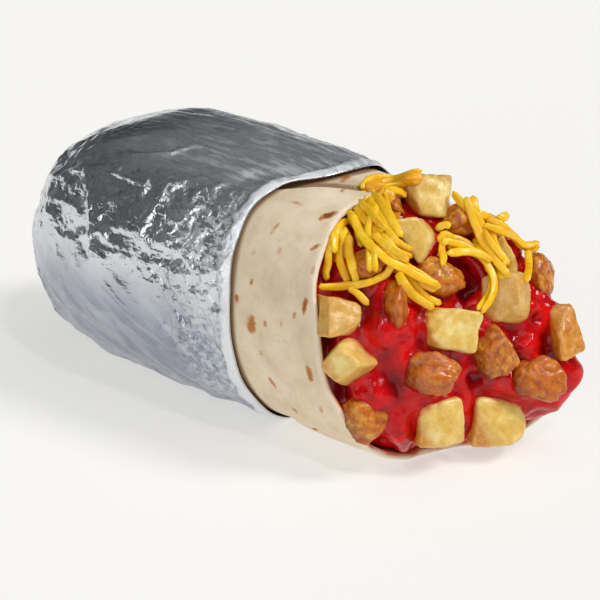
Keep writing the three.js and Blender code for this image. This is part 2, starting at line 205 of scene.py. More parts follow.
def facets(points, size, seed):
    """Flat-sided pits with straight, sharp creases between them, from 0 to about 1."""
    p = points / size
    cell = np.floor(p).astype(np.int64)
    best = np.full(len(p), 9.0)
    for offset in np.ndindex(3, 3, 3):
        corner = cell + np.array(offset) - 1
        key = hashed(corner, seed)
        away = p - (corner + 0.5 + 0.42 * JITTERS[key])
        far = np.zeros(len(p))
        for k in range(3):
            side = GRADIENTS[(key * 5 + 17 * k) % GRADIENT_COUNT]
            far = np.maximum(far, np.abs((away * side).sum(1)))
        best = np.minimum(best, far)
    return best


# Meshes


def to_frame(points):
    return (np.asarray(points, float).reshape(-1, 3) - MIDDLE) * MM


def mesh_object(name, points, faces, values):
    """A mesh from points in millimetres. values are numbers for each point, kept as attributes."""
    mesh = bpy.data.meshes.new(name)
    mesh.from_pydata(to_frame(points).tolist(), [], [list(map(int, f)) for f in faces])
    mesh.validate()
    mesh.polygons.foreach_set("use_smooth", np.full(len(mesh.polygons), True))
    for key, numbers in values.items():
        attribute = mesh.attributes.new(key, "FLOAT", "POINT")
        attribute.data.foreach_set("value", np.asarray(numbers, np.float32))
    mesh.update()
    obj = bpy.data.objects.new(name, mesh)
    bpy.context.scene.collection.objects.link(obj)
    return obj


def settle(obj, look, slot, *nodes):
    obj.data.materials.append(look)
    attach(obj, "root")
    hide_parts(*nodes)


def grid_faces(rows, columns, wrap):
    """Quads between rows of points that lie one after another."""
    across = np.arange(columns if wrap else columns - 1)
    following = (across + 1) % columns
    faces = []
    for r in range(rows - 1):
        a, b = r * columns, (r + 1) * columns
        faces += np.stack([a + across, a + following, b + following, b + across], axis=1).tolist()
    return faces


def closed_grid(grid, ends=None):
    """Points and faces of a grid that is closed round its columns, and by fans at both ends."""
    rows, columns = grid.shape[:2]
    if ends is None:
        ends = [grid[0].mean(axis=0), grid[-1].mean(axis=0)]
    faces, count = grid_faces(rows, columns, True), rows * columns
    first = list(range(columns))
    last = [count - columns + k for k in first]
    for k in range(columns):
        faces.append((count, first[(k + 1) % columns], first[k]))
    for k in range(columns):
        faces.append((count + 1, last[k], last[(k + 1) % columns]))
    return np.concatenate([grid.reshape(-1, 3), ends]), faces


def joined(parts):
    """Several parts, each points and faces, as one."""
    points, faces, start = [], [], 0
    for part_points, part_faces in parts:
        points.append(part_points)
        faces += [tuple(int(i) + start for i in f) for f in part_faces]
        start += len(part_points)
    return np.concatenate(points), faces


def tree_of(parts):
    points, faces = joined(parts)
    return BVHTree.FromPolygons(points.tolist(), faces)


def grid_normals(grid):
    """Unit normals of a (rows, columns, 3) grid that is closed round its columns."""
    wrapped = np.concatenate([grid[:, -1:], grid, grid[:, :1]], axis=1)
    around = (wrapped[:, 2:] - wrapped[:, :-2]) / 2
    along = np.gradient(grid, axis=0)
    normal = unit(np.cross(along, around))
    outwards = grid - grid.mean(axis=1, keepdims=True)
    flip = np.sign((normal * outwards).sum(axis=(1, 2)))
    flip[flip == 0] = 1
    return normal * flip[:, None, None]


# The roll


def underside_z(x):
    return (FOIL_WALL + PLAY) * (1 - smoothstep(x, FOIL_MEAN_X + 7, FOIL_MEAN_X + 22))


def signed_power(value, power):
    return np.sign(value) * np.abs(value) ** power


def roll_point(x, angle, inset):
    """Points of the roll's surface, moved inwards by inset."""
    x, angle, inset = np.broadcast_arrays(
        np.asarray(x, float), np.asarray(angle, float), np.asarray(inset, float)
    )
    along = np.clip((x - TAIL_X - inset) / CAP_LENGTH, 0, 1)
    rounded = (1 - (1 - along) ** CAP_POWER) ** (1 / CAP_POWER)
    slim = SLIMMING * smoothstep(x, 0, SLIM_X)
    half_width = np.maximum(0, (ROLL_HALF_WIDTH - slim - inset) * rounded)
    half_height = np.maximum(0, (ROLL_HALF_HEIGHT - inset) * rounded)
    high = ROLL_HALF_HEIGHT + underside_z(x) - REST_FLAT
    centre_z = TAIL_CENTRE_Z + (high - TAIL_CENTRE_Z) * rounded
    c, s = np.cos(np.radians(angle)), np.sin(np.radians(angle))
    place = np.stack([x / SWELL_LENGTH, 1.3 * c + 4, 1.3 * s + 7], axis=-1)
    swell = 1 + SWELL * 0.6 * noise(place.reshape(-1, 3), 1.0, 5).reshape(x.shape)
    y = half_width * signed_power(c, 2 / SQUARENESS) * swell
    z = centre_z + half_height * signed_power(s, 2 / SQUARENESS) * swell
    return np.stack([x, y, np.maximum(z, underside_z(x) + inset)], axis=-1)


def mouth_x(angle):
    t = np.radians(angle)
    ripple = MOUTH_RIPPLE * (np.sin(5 * t + 1) + 0.6 * np.sin(9 * t))
    waves = sum(
        c * np.cos((k + 1) * t) + s * np.sin((k + 1) * t) for k, (c, s) in enumerate(MOUTH_WAVES)
    )
    return MOUTH_MEAN_X + ripple + waves


def foil_rim_x(angle):
    at = np.mod(angle, 360)
    reach = sum(r * np.exp(-(((at - a) / s) ** 2)) for a, s, r in FOIL_REACHES)
    return FOIL_MEAN_X + reach


def free_edge_angle(share):
    turned = np.maximum(0, share - EDGE_TURNS) / (1 - EDGE_TURNS)
    return EDGE_INSIDE + (EDGE_MOUTH - EDGE_INSIDE) * turned


def arc(degrees):
    return degrees * math.pi / 180 * ARC_RADIUS


def angle_between(angle, low, high, soft):
    """1 from angle low to high, fading over soft degrees on both sides."""
    at = np.mod(angle, 360)
    return smoothstep(at, low - soft, low + soft) * (1 - smoothstep(at, high - soft, high + soft))


# The foil

FOIL_COLUMNS = 460
FOIL_CAP_ROWS = 112
FOIL_BODY_ROWS = 84
RIM_ROWS = 3
INSIDE_ROWS = 8
# Sharp folds that stand out, as places (x, angle) on the roll, then height and half width
FOLDS = (
    (((-42, 121), (-33, 122), (-28, 119.5), (-22.5, 115), (-18, 106), (-15, 99)), 0.7, 1.5),
    (((-40, 146.5), (-37.6, 155), (-35, 166), (-33, 172)), 0.7, 1.1),
    (((-31, 145), (-32.4, 151.5), (-35.5, 158)), 0.5, 1.0),
    (((-15, 138), (-16, 147), (-16.5, 157), (-16.7, 162)), 0.6, 0.9),
    (((-72, 151), (-53.5, 153), (-43.5, 154.5), (-38.8, 158.5)), 0.8, 1.5),
    (((-72, 145), (-57.7, 141), (-54, 138), (-42, 133), (-30, 134), (-15, 136)), 0.7, 1.3),
    (((-17, 133.5), (-10, 126), (-2.5, 119)), 0.55, 1.2), (((-5, 131.5), (1.5, 123)), 0.6, 1.2),
    (((-33, 175), (-24, 183), (-15, 189.5), (-8, 195), (-3, 196)), 0.6, 1.6),
    (((-7, 172), (-4, 180), (1.5, 185), (6, 194.5), (12, 197.5), (17, 201)), 0.85, 1.0),
    (((-57, 164.5), (-50, 169), (-42, 168), (-32, 161), (-28, 164), (-18.5, 164.5)), 0.5, 1.2),
    (((-70, 180), (-58, 186), (-46, 196), (-34, 206)), 0.6, 2.4),
    (((-52, 176), (-42, 184), (-33, 195), (-24, 207)), 0.5, 2.0),
)


def to_segments(points, ways):
    """The distance from each point to the nearest of some ways, each a row of points."""
    best = np.full(len(points), 1e9)
    for way in ways:
        for a, b in zip(way[:-1], way[1:]):
            ab = b - a
            t = np.clip(((points - a) @ ab) / max(ab @ ab, 1e-9), 0, 1)
            best = np.minimum(best, np.linalg.norm(points - a - t[:, None] * ab, axis=1))
    return best


def foil_dip(x, angle):
    """How far the foil's mouth sinks where the sheet under it is one layer lower."""
    share = (x - SHEET_TAIL_X) / (mouth_x(angle) - SHEET_TAIL_X)
    turned = np.mod(angle - free_edge_angle(share), 360)
    step = smoothstep(turned, TUCK_FROM, TUCK_TO) * (1 - smoothstep(turned, 348, 360))
    rim = foil_rim_x(angle)
    return CUFF_DIP * (SHEET + LAYER_GAP) * step * smoothstep(x, rim - 16, rim - 1)


def foil_crinkle(x, angle):
    """How finely crumpled the foil is, from 0 on its smooth parts to 1."""
    rim = foil_rim_x(angle)
    band = angle_between(angle, 126, 176, 8) + angle_between(angle, 12, 60, 10)
    near_cuff = smoothstep(x, rim - 38, rim - 14)
    off_top = 1 - angle_between(angle, 60, 126, 8)
    return np.clip(band * (0.45 + 0.55 * near_cuff) + 0.7 * near_cuff * off_top, 0, 1)


def slanted(p):
    """Places turned so that the first axis runs forwards and down along the near side."""
    return p @ np.array([[0.83, 0.0, 0.56], [0.0, 1.0, 0.0], [-0.56, 0.0, 0.83]])


def foil_relief(p, x, angle):
    """How far the foil's crumples, streaks, folds and pleats stand out, in millimetres."""
    rim = foil_rim_x(angle)
    band = angle_between(angle, 128, 168, 7) + 0.7 * angle_between(angle, 10, 60, 10)
    top = angle_between(angle, 62, 128, 9)
    low = np.clip(1 - band - top, 0, 1)
    tail = 1 - smoothstep(x, TAIL_X + 6, TAIL_X + 34)
    near_cuff = smoothstep(x, rim - 36, rim - 12)
    wobble = 0.5 * np.stack([noise(p, 11, 60 + k) for k in range(3)], axis=1)
    big = facets(p + wobble, 15, 1) - facets(p + 7.7, 19, 2)
    middle = facets(p + wobble, 5.4, 3) - facets(p - 3.1, 6.6, 4)
    small = facets(p, 2.7, 5) - facets(p, 3.3, 6)
    relief = 2.8 * big * (0.3 * top + band + 0.6 * low + 0.6 * tail)
    share = 0.04 * top + band * (0.3 + 0.7 * near_cuff) + low * (0.12 + 0.42 * near_cuff) + 0.3 * tail
    relief += 1.7 * middle * share
    patches = 0.35 + 0.65 * smoothstep(noise(p, 13, 8), -0.2, 0.4)
    far_side = smoothstep(np.cos(np.radians(angle - 342)), 0.45, 0.85)
    relief += far_side * (0.8 * middle + 0.3 * small)
    share = 0.03 * top + band * (0.1 + near_cuff) + 0.3 * low * (0.2 + near_cuff)
    relief += 0.95 * small * patches * share
    at = np.mod(angle, 360)
    shoulder = smoothstep(x, TAIL_X + 6, TAIL_X + 18) * (1 - smoothstep(x, -34, -6))
    relief += 1.5 * np.exp(-(((at - 177) / 16) ** 2)) * shoulder
    streaks = noise(p / np.array([9, 1, 1]), 2.4, 9) + 0.5 * noise(p / np.array([6, 1, 1]), 1.2, 10)
    relief += 0.15 * streaks * (top * (0.4 + smoothstep(x, -45, 0)) + 0.3 * low)
    relief += 0.4 * low * noise(slanted(p) / np.array([8, 1.6, 1]), 3.0, 11)
    ways = []
    for places, height, width in FOLDS:
        xs, angles = np.array(places, float).T
        way = roll_point(xs, angles, -PLAY - FOIL_WALL)
        near, low_x, high_x = to_segments(p, [way]), xs.min(), xs.max()
        fade = min(9.0, (high_x - low_x) / 2)
        ends = smoothstep(x, low_x - 1, low_x + fade) * (1 - smoothstep(x, high_x - fade, high_x + 1))
        if high_x - low_x < 8:
            ends = 1.0
        relief += 1.35 * height * ends * np.exp(-near / (0.85 * width))
    pleat = np.abs(np.sin(np.radians(angle) * 4.5 + 0.7 * noise(p, 20, 12)))
    relief += 1.1 * pleat * tail * smoothstep(x, TAIL_X - 1, TAIL_X + 9)
    return np.maximum(relief, -0.55)


def foil_piece():
    angles = np.arange(FOIL_COLUMNS) * 360 / FOIL_COLUMNS
    inset = -PLAY - FOIL_WALL
    tip = TAIL_X + inset
    rise = np.linspace(0.01, np.pi / 2, FOIL_CAP_ROWS)
    cap_x = tip + CAP_LENGTH * (1 - np.cos(rise) ** (2 / CAP_POWER))
    cap = np.repeat(cap_x[:, None], FOIL_COLUMNS, axis=1)
    rim = foil_rim_x(angles) + 0.35 * np.sin(np.radians(angles * 11)) * np.sin(np.radians(angles * 3))
    shares = np.linspace(0, 1, FOIL_BODY_ROWS + 1)[1:, None]
    body = cap_x[-1] + (rim - cap_x[-1]) * shares
    x = np.concatenate([cap, body])
    a = np.broadcast_to(angles, x.shape)
    base = roll_point(x, a, inset + foil_dip(x, a))
    normal = grid_normals(base)
    flat = base.reshape(-1, 3)
    relief = foil_relief(flat, x.ravel(), a.ravel()).reshape(x.shape)
    ragged = [noise(np.stack([angles * 0 + 3, angles / k, angles * 0], 1), 1.0, 13) for k in (11, 4)]
    edge = rim - CUFF_WIDTH + 1.6 * ragged[0] + 0.9 * ragged[1]
    on_cuff = smoothstep(x, edge - 0.5, edge + 0.1)
    down = np.clip((x - edge) / (rim - edge), 0, 1) ** 1.6
    relief = relief * (1 - on_cuff * (0.45 + 0.45 * down)) + on_cuff * (CUFF_RISE - CUFF_DROP * down)
    tip_fade = smoothstep(x, tip + 0.4, tip + 6)
    relief *= tip_fade
    outer = base + normal * relief[..., None]
    rings = []
    lip = CUFF_DROP - CUFF_RISE
    for k in range(1, RIM_ROWS + 1):
        turn = math.pi * k / (RIM_ROWS + 1)
        drop = (FOIL_WALL - lip) * (1 - math.cos(turn)) / 2
        sunk = inset + lip + drop + foil_dip(rim, angles)
        rings.append(roll_point(rim + 0.2 * math.sin(turn), angles, sunk))
    for share in np.linspace(1, 0.02, INSIDE_ROWS) ** 1.5:
        along = TAIL_X - PLAY + (rim - TAIL_X + PLAY) * share
        rings.append(roll_point(along, angles, -PLAY + foil_dip(along, angles)))
    grid = np.concatenate([outer, np.array(rings)])
    grid[..., 2] = np.maximum(grid[..., 2], FLOOR_GAP)
    points, faces = closed_grid(grid)
    from_below = np.abs(np.mod(a - 90, 360) - 180)
    # Slanting streaks where paler reflections are painted on the underside
    slant = noise(slanted(points[: x.size]) / np.array([9, 2, 1]), 3.4, 21).reshape(x.shape)
    # The underside, which faces the floor: its colour is painted darker and bluish there, a painted
    # reflection of the floor in shade
    painted_dark_underside = 1 - smoothstep(from_below, 78, 104)
    values = {
        "painted_dark_underside": painted_dark_underside,
        "cuffed": on_cuff,
        "crinkled": foil_crinkle(x, a),
        "brushed": angle_between(a, 50, 124, 14) * smoothstep(x, -60, 0),
        "frosted": angle_between(a, 134, 222, 9) * smoothstep(x, rim - 30, rim - 6),
        "painted_light_streaks": smoothstep(slant, 0.02, 0.34) * painted_dark_underside,
    }
    inside = np.zeros(len(points) - x.size)
    values = {name: np.concatenate([value.ravel(), inside]) for name, value in values.items()}
    return mesh_object("foil_sheet", points, faces, values)


# The tortilla

SPOTS = (
    # x, angle, half length round the roll, half width along it, lean, strength
    (36.9, 116.5, 3.0, 1.5, -0.6, 1.0),
    (39.8, 134.2, 1.6, 0.9, -0.5, 0.75),
    (42.6, 144.8, 2.0, 1.5, 0.0, 1.0),
    (43.1, 161.2, 2.4, 1.0, 0.0, 0.9),
    (25.7, 178.0, 2.2, 2.0, 0.3, 0.7),
    (19.9, 170.5, 1.7, 0.9, 0.0, 0.8),
    (24.2, 161.0, 1.6, 0.8, -0.2, 0.75),
    (25.1, 134.0, 2.3, 0.8, -0.1, 0.55),
    (30.0, 143.0, 1.4, 1.0, 0.0, 0.3),
    (26.1, 118.0, 0.9, 3.6, 0.0, 0.35),
    (40.0, 166.5, 1.5, 0.8, 0.0, 0.5),
    (35.9, 172.8, 1.4, 0.9, 0.0, 0.3),
    (30.3, 175.2, 1.1, 0.9, 0.0, 0.5),
    (45.8, 186.2, 3.2, 1.2, 0.2, 0.7),
    (31.3, 198.8, 2.2, 1.4, 0.5, 0.5),
    (48.0, 203.0, 2.0, 0.9, 0.0, 0.4),
    (37.0, 211.0, 1.6, 1.1, 0.3, 0.5),
    (33.0, 100.0, 1.4, 0.8, 0.0, 0.5),
    (22.0, 148.0, 1.2, 0.8, 0.0, 0.3),
    (49.0, 150.0, 1.6, 0.8, 0.0, 0.45),
    (29.0, 186.0, 1.0, 0.7, 0.0, 0.4),
)
FAR_SPOTS = 46


def all_spots():
    """The named spots, then as many more spread over the side that looks away."""
    spread = np.random.default_rng(23)
    spots = list(SPOTS)
    for _ in range(FAR_SPOTS):
        angle = spread.uniform(-140, 95)
        x = spread.uniform(14, mouth_x(angle) - 2)
        size = spread.uniform(0.8, 2.4)
        spots.append((x, angle, size, size * spread.uniform(0.4, 0.8), spread.uniform(-0.6, 0.6),
                      spread.uniform(0.3, 1.0)))
    return spots


def toasting(points, x, angle):
    """How toasted the sheet's outside is at each point, from 0 to 1."""
    toast = np.zeros(len(points))
    ragged = 0.42 * fractal(points, 2.0, 70)
    for sx, sa, tall, wide, lean, strength in all_spots():
        around = arc(np.mod(angle - sa + 180, 360) - 180)
        along = x - sx - lean * around
        far = np.sqrt((around / tall) ** 2 + (along / wide) ** 2) + ragged
        toast = np.maximum(toast, strength * (1 - smoothstep(far, 0.35, 1.15)))
    return toast


def sheet_inset(turned, outer):
    """How far a face of the sheet lies in, rounded at the sheet's two free edges."""
    tuck = (SHEET + LAYER_GAP) * smoothstep(turned, TUCK_FROM, TUCK_TO)
    from_edge = arc(np.minimum(turned, 360 + OVERLAP - turned))
    half = SHEET / 2
    swing = half * np.sqrt(np.clip(1 - (1 - np.clip(from_edge / 1.3, 0, 1)) ** 2, 0.02, 1))
    return tuck + half - swing if outer else tuck + half + swing


def sheet_end(angle, turned):
    """The sheet's mouth, set back a little where the sheet lies under its own lap."""
    return mouth_x(angle) - LAP_RECESS * smoothstep(turned, 352, 372)


def tortilla_piece():
    fine = [0, 0.25, 0.6, 1.0, 1.5, 2.1]
    span = 360 + OVERLAP
    turned = np.array(fine + list(np.arange(3, span - 2.5, 1.15)) + [span - v for v in reversed(fine)])
    shares = np.concatenate([np.linspace(0, 0.58, 9)[:-1], np.linspace(0.58, 1, 92)])

    def face(rows, outer):
        grid = []
        for share in rows:
            angle = free_edge_angle(share) + turned
            x = SHEET_TAIL_X + (sheet_end(angle, turned) - SHEET_TAIL_X) * share
            inset = sheet_inset(turned, outer)
            base = roll_point(x, angle, inset)
            soft = 0.32 * noise(base, 13, 14) + 0.12 * noise(base, 4.5, 15) + 0.05 * noise(base, 1.6, 16)
            clear = smoothstep(x, foil_rim_x(angle) - 2, foil_rim_x(angle) + 6)
            grid.append(roll_point(x, angle, inset - soft * clear))
        return np.array(grid)

    outer = face(shares, True)
    rim = []
    angle = free_edge_angle(1.0) + turned
    end = sheet_end(angle, turned)
    out_inset, in_inset = sheet_inset(turned, True), sheet_inset(turned, False)
    for k in range(1, 5):
        turn = math.pi * k / 5
        across = (1 - math.cos(turn)) / 2
        inset = out_inset + (in_inset - out_inset) * across
        rim.append(roll_point(end + 0.75 * math.sin(turn), angle, inset))
    inner = face(np.concatenate([np.linspace(1, 0.86, 24), np.linspace(0.86, 0, 12)[1:]]), False)
    grid = np.concatenate([outer, np.array(rim), inner])
    grid[..., 2] = np.maximum(grid[..., 2], FLOOR_GAP)
    rows, columns = grid.shape[:2]
    points = grid.reshape(-1, 3)
    faces = grid_faces(rows, columns, False)
    outside, inside = len(outer), len(inner)
    # The sheet's two side edges and its edge at the tail are closed by strips between matching rows
    inner_tail = (rows - 1) * columns
    for i in range(columns - 1):
        faces.append((i + 1, i, inner_tail + i, inner_tail + i + 1))
    for column in (0, columns - 1):
        ring = [r * columns + column for r in range(rows)]
        left, right = 0, rows - 1
        while right - left > 1:
            # Walks both faces from the tail to the mouth, always stepping the one that lags behind
            a, b = points[ring[left + 1]][0], points[ring[right - 1]][0]
            if a <= b:
                tri = (ring[left], ring[left + 1], ring[right])
                left += 1
            else:
                tri = (ring[left], ring[right - 1], ring[right])
                right -= 1
            faces.append(tri if column == 0 else tri[::-1])
    angle_of = np.concatenate([
        np.array([free_edge_angle(s) + turned for s in shares]).ravel(),
        np.tile(free_edge_angle(1.0) + turned, 4 + inside),
    ])
    toast = toasting(points, points[:, 0], angle_of)
    toast[outside * columns:] *= 0.0
    foil_shade = 1 - smoothstep(points[:, 0] - foil_rim_x(angle_of), 0.2, 1.7)
    foil_shade[(outside + 4) * columns:] = 0
    turned_of = np.tile(turned, rows)
    to_end = sheet_end(angle_of, turned_of) - points[:, 0]
    rimmed = np.maximum(1 - smoothstep(to_end, 0.2, 1.6), 1 - smoothstep(turned_of, 0.6, 2.4))
    beyond = arc(360 - turned_of)
    lap_shade = 0.35 * smoothstep(beyond, -2, 0) * (1 - smoothstep(beyond, 8.5, 12))
    lap_shade = np.maximum(lap_shade, smoothstep(beyond, -1, 0) * (1 - smoothstep(beyond, 6.0, 8.2)))
    foil_shade = np.maximum(foil_shade, lap_shade)
    inside_face = np.zeros(len(points))
    inside_face[(outside + 2) * columns:] = 1
    values = {"toast": toast, "foil_shade": foil_shade, "rim": rimmed, "inside": inside_face}
    return mesh_object("tortilla_sheet", points, faces, values), (points, faces)


# The heap's dressing


def side_frame(azimuth):
    a, e = math.radians(azimuth), math.radians(DRESSED_ELEVATION)
    out = np.array([math.sin(a) * math.cos(e), -math.cos(a) * math.cos(e), math.sin(e)])
    right = np.array([math.cos(a), math.sin(a), 0.0])
    return right, np.cross(out, right), out


NEAR_RIGHT, NEAR_UP, NEAR_OUT = side_frame(NEAR_SIDE)


def near_place(across, up, level):
    return MOUTH_CENTRE + NEAR_RIGHT * across + NEAR_UP * up + NEAR_OUT * level


def cube_sphere(segments):
    """Points of a cube's surface from -1 to 1, welded, and its quads."""
    keys, points, faces = {}, [], []
    steps = np.linspace(-1, 1, segments + 1)

    def index_of(p):
        key = tuple(np.round(p, 5))
        if key not in keys:
            keys[key] = len(points)
            points.append(p)
        return keys[key]

    for axis in range(3):
        for sign in (-1, 1):
            table = np.zeros((segments + 1, segments + 1), int)
            for i, u in enumerate(steps):
                for j, v in enumerate(steps):
                    p = [0.0, 0.0, 0.0]
                    p[axis] = float(sign)
                    p[(axis + 1) % 3] = float(u)
                    p[(axis + 2) % 3] = float(v)
                    table[i, j] = index_of(p)
            for i in range(segments):
                for j in range(segments):
                    quad = [table[i, j], table[i + 1, j], table[i + 1, j + 1], table[i, j + 1]]
                    faces.append(quad if sign > 0 else quad[::-1])
    return np.array(points), faces


def chunk_axes(azimuth, turn, side_turn):
    right, up, out = side_frame(azimuth)
    basis = np.stack([right, up, out], axis=1)
    t, s = math.radians(turn), math.radians(side_turn)
    about_out = np.array([[math.cos(t), -math.sin(t), 0], [math.sin(t), math.cos(t), 0], [0, 0, 1]])
    about_up = np.array([[math.cos(s), 0, math.sin(s)], [0, 1, 0], [-math.sin(s), 0, math.cos(s)]])
    return basis @ about_out @ about_up, out


def cad_points(node):
    mesh = frame["nodes"][node].data
    co = np.zeros(len(mesh.vertices) * 3, np.float32)
    mesh.vertices.foreach_get("co", co)
    return co.reshape(-1, 3).astype(float) / MM + MIDDLE


def seat_chunk(node, plain, row, azimuth):
    """Sets a shape of unit size where its CAD node is, its front as far out as the node's."""
    across, up, wide, tall, turn, side_turn = row
    axes, out = chunk_axes(azimuth, turn, side_turn)
    placed = (plain * np.array([wide, tall, CHUNK_DEPTH]) / 2) @ axes.T
    right, rise, _ = side_frame(azimuth)
    middle = MOUTH_CENTRE + right * across + rise * up
    front = ((cad_points(node) - middle) @ out).max() - (placed @ out).max()
    centre = middle + out * front
    return placed + centre, centre


def filling_size(points):
    """Scales a shape so that it just fills the range from -1 to 1 in each direction."""
    low, high = points.min(axis=0), points.max(axis=0)
    return (points - (low + high) / 2) * 2 / (high - low)


def die_shape(seed, half):
    """A hand-cut die of about unit size: six tilted flat faces, sliced corners, rounded edges, with a
    mask that is 1 on its edges for a painted highlight.
    """
    draw = np.random.default_rng(100 + seed)
    points, faces = cube_sphere(26)
    way = unit(points)
    sides = np.concatenate([np.eye(3), -np.eye(3)]) + draw.normal(size=(6, 3)) * 0.13
    depths = draw.uniform(0.86, 1.0, size=6)
    corners = np.sign(draw.normal(size=(3, 3))) * draw.uniform(0.3, 1.0, size=(3, 3))
    sides = np.concatenate([unit(sides), unit(corners)])
    depths = np.concatenate([depths, draw.uniform(0.98, 1.18, size=3)])
    near = np.maximum(way @ sides.T, 0) / depths
    sharp = draw.uniform(9, 14)
    far = 1 / (near**sharp).sum(1) ** (1 / sharp)
    edge = 1 - np.sort(near, axis=1)[:, -2] / near.max(1)
    place = way * far[:, None] * half + seed * 31.0
    lumps = 0.05 * noise(place, 5.5, seed) + 0.04 * noise(place, 2.6, seed + 1)
    lumps += 0.016 * noise(place, 1.1, seed + 2)
    return filling_size(way * (far * (1 + lumps))[:, None]), faces, 1 - edge


def crumble_shape(seed, half):
    """A ragged crumble of about unit size: broken flat sides with lobes grown over them."""
    draw = np.random.default_rng(200 + seed)
    points, faces = cube_sphere(34)
    way = unit(points)
    sides = unit(draw.normal(size=(11, 3)))
    depths = draw.uniform(0.75, 1.0, size=11)
    near = np.maximum(way @ sides.T, 0) / depths
    broken = 1 / np.maximum((near**9).sum(1) ** (1 / 9), 0.75)
    reaches = [np.full(len(way), 0.5)]
    for _ in range(draw.integers(4, 7)):
        middle = draw.normal(size=3)
        middle *= draw.uniform(0.35, 0.6) / np.linalg.norm(middle)
        radius = draw.uniform(0.4, 0.58)
        along = way @ middle
        inside = along**2 - middle @ middle + radius**2
        reaches.append(np.where(inside > 0, along + np.sqrt(np.maximum(inside, 0)), 0))
    reaches = np.array(reaches)
    firm = 9.0
    lobed = np.log(np.exp(firm * reaches).sum(0)) / firm
    far = 0.6 * broken + 0.45 * lobed
    place = way * far[:, None] * half + seed * 43.0
    knobs = np.abs(noise(place, 4.4, 400 + seed)) - 0.3
    bumps = 0.085 * knobs + 0.07 * noise(place, 2.3, 500 + seed) + 0.03 * noise(place, 1.0, 600 + seed)
    # How deep a point lies in a crevice between knobs, where shade is painted
    crevice_shade = np.clip(-1.4 * knobs - 4 * bumps, -1, 1)
    return filling_size(way * (far * (1 + bumps))[:, None]), faces, crevice_shade


def keep_inside(points):
    """Moves points that would cut through the tortilla back to its inner face."""
    x, y, z = points.T
    room = SHEET + 0.35
    half_width = ROLL_HALF_WIDTH - SLIMMING - room
    half_height = ROLL_HALF_HEIGHT - room
    middle = ROLL_HALF_HEIGHT - REST_FLAT
    a, b = y / half_width, (z - middle) / half_height
    out = (np.abs(a) ** SQUARENESS + np.abs(b) ** SQUARENESS) ** (1 / SQUARENESS)
    angle = np.degrees(np.arctan2(signed_power(b, SQUARENESS / 2), signed_power(a, SQUARENESS / 2)))
    lapped = 1 - smoothstep(np.mod(angle - free_edge_angle(1.0), 360), OVERLAP, OVERLAP + 12)
    limit = 1 - (SHEET + LAYER_GAP) * lapped / half_width
    covered = 1 - smoothstep(x, mouth_x(angle) - 0.2, mouth_x(angle) + 2.2)
    back = np.where(out > limit, 1 - covered * (1 - limit / np.maximum(out, 1e-6)), 1.0)
    return np.stack([x, y * back, middle + (z - middle) * back], axis=1)


def chunk_pieces(kind, rows_by_side, shape_of, look):
    pieces = []
    rows = [(azimuth, row) for azimuth in (NEAR_SIDE, END_SIDE) for row in rows_by_side[azimuth]]
    for number, (azimuth, row) in enumerate(rows, 1):
        node = f"{kind}_{number}"
        # shape_of also gives a mask for painted light: an edge highlight on potatoes, crevice shade on
        # sausages
        plain, faces, painted_light_mask = shape_of(number, np.array([row[2], row[3], CHUNK_DEPTH]) / 2)
        points, centre = seat_chunk(node, plain, row, azimuth)
        points = keep_inside(points)
        # How far a point lies towards the chunk's left and lower side, away from the key light, where
        # shade is painted
        painted_shade_side = (points - centre) @ (-0.85 * NEAR_RIGHT - 0.5 * NEAR_UP) / 6.0
        golden = np.full(len(points), GOLDEN.get(node, 0.0))
        values = {"painted_light_mask": painted_light_mask, "local_z": plain[:, 2], "painted_shade_side": painted_shade_side, "golden": golden}
        obj = mesh_object(f"{kind}_chunk_{number}", points, faces, values)
        settle(obj, look, kind, node)
        pieces.append((obj, points, faces))
    return pieces


# The sauce: a plug inside the tortilla, and the heap in front of it

SAUCE_COLUMNS = 240
PLUG_ROWS, HEAP_ROWS = 11, 92
# How near to a chunk the sauce starts to climb it, and how far off it still counts
CLIMB_REACH, DEPTH_REACH = 2.2, 8.0
SAUCE_DROP = 1.5
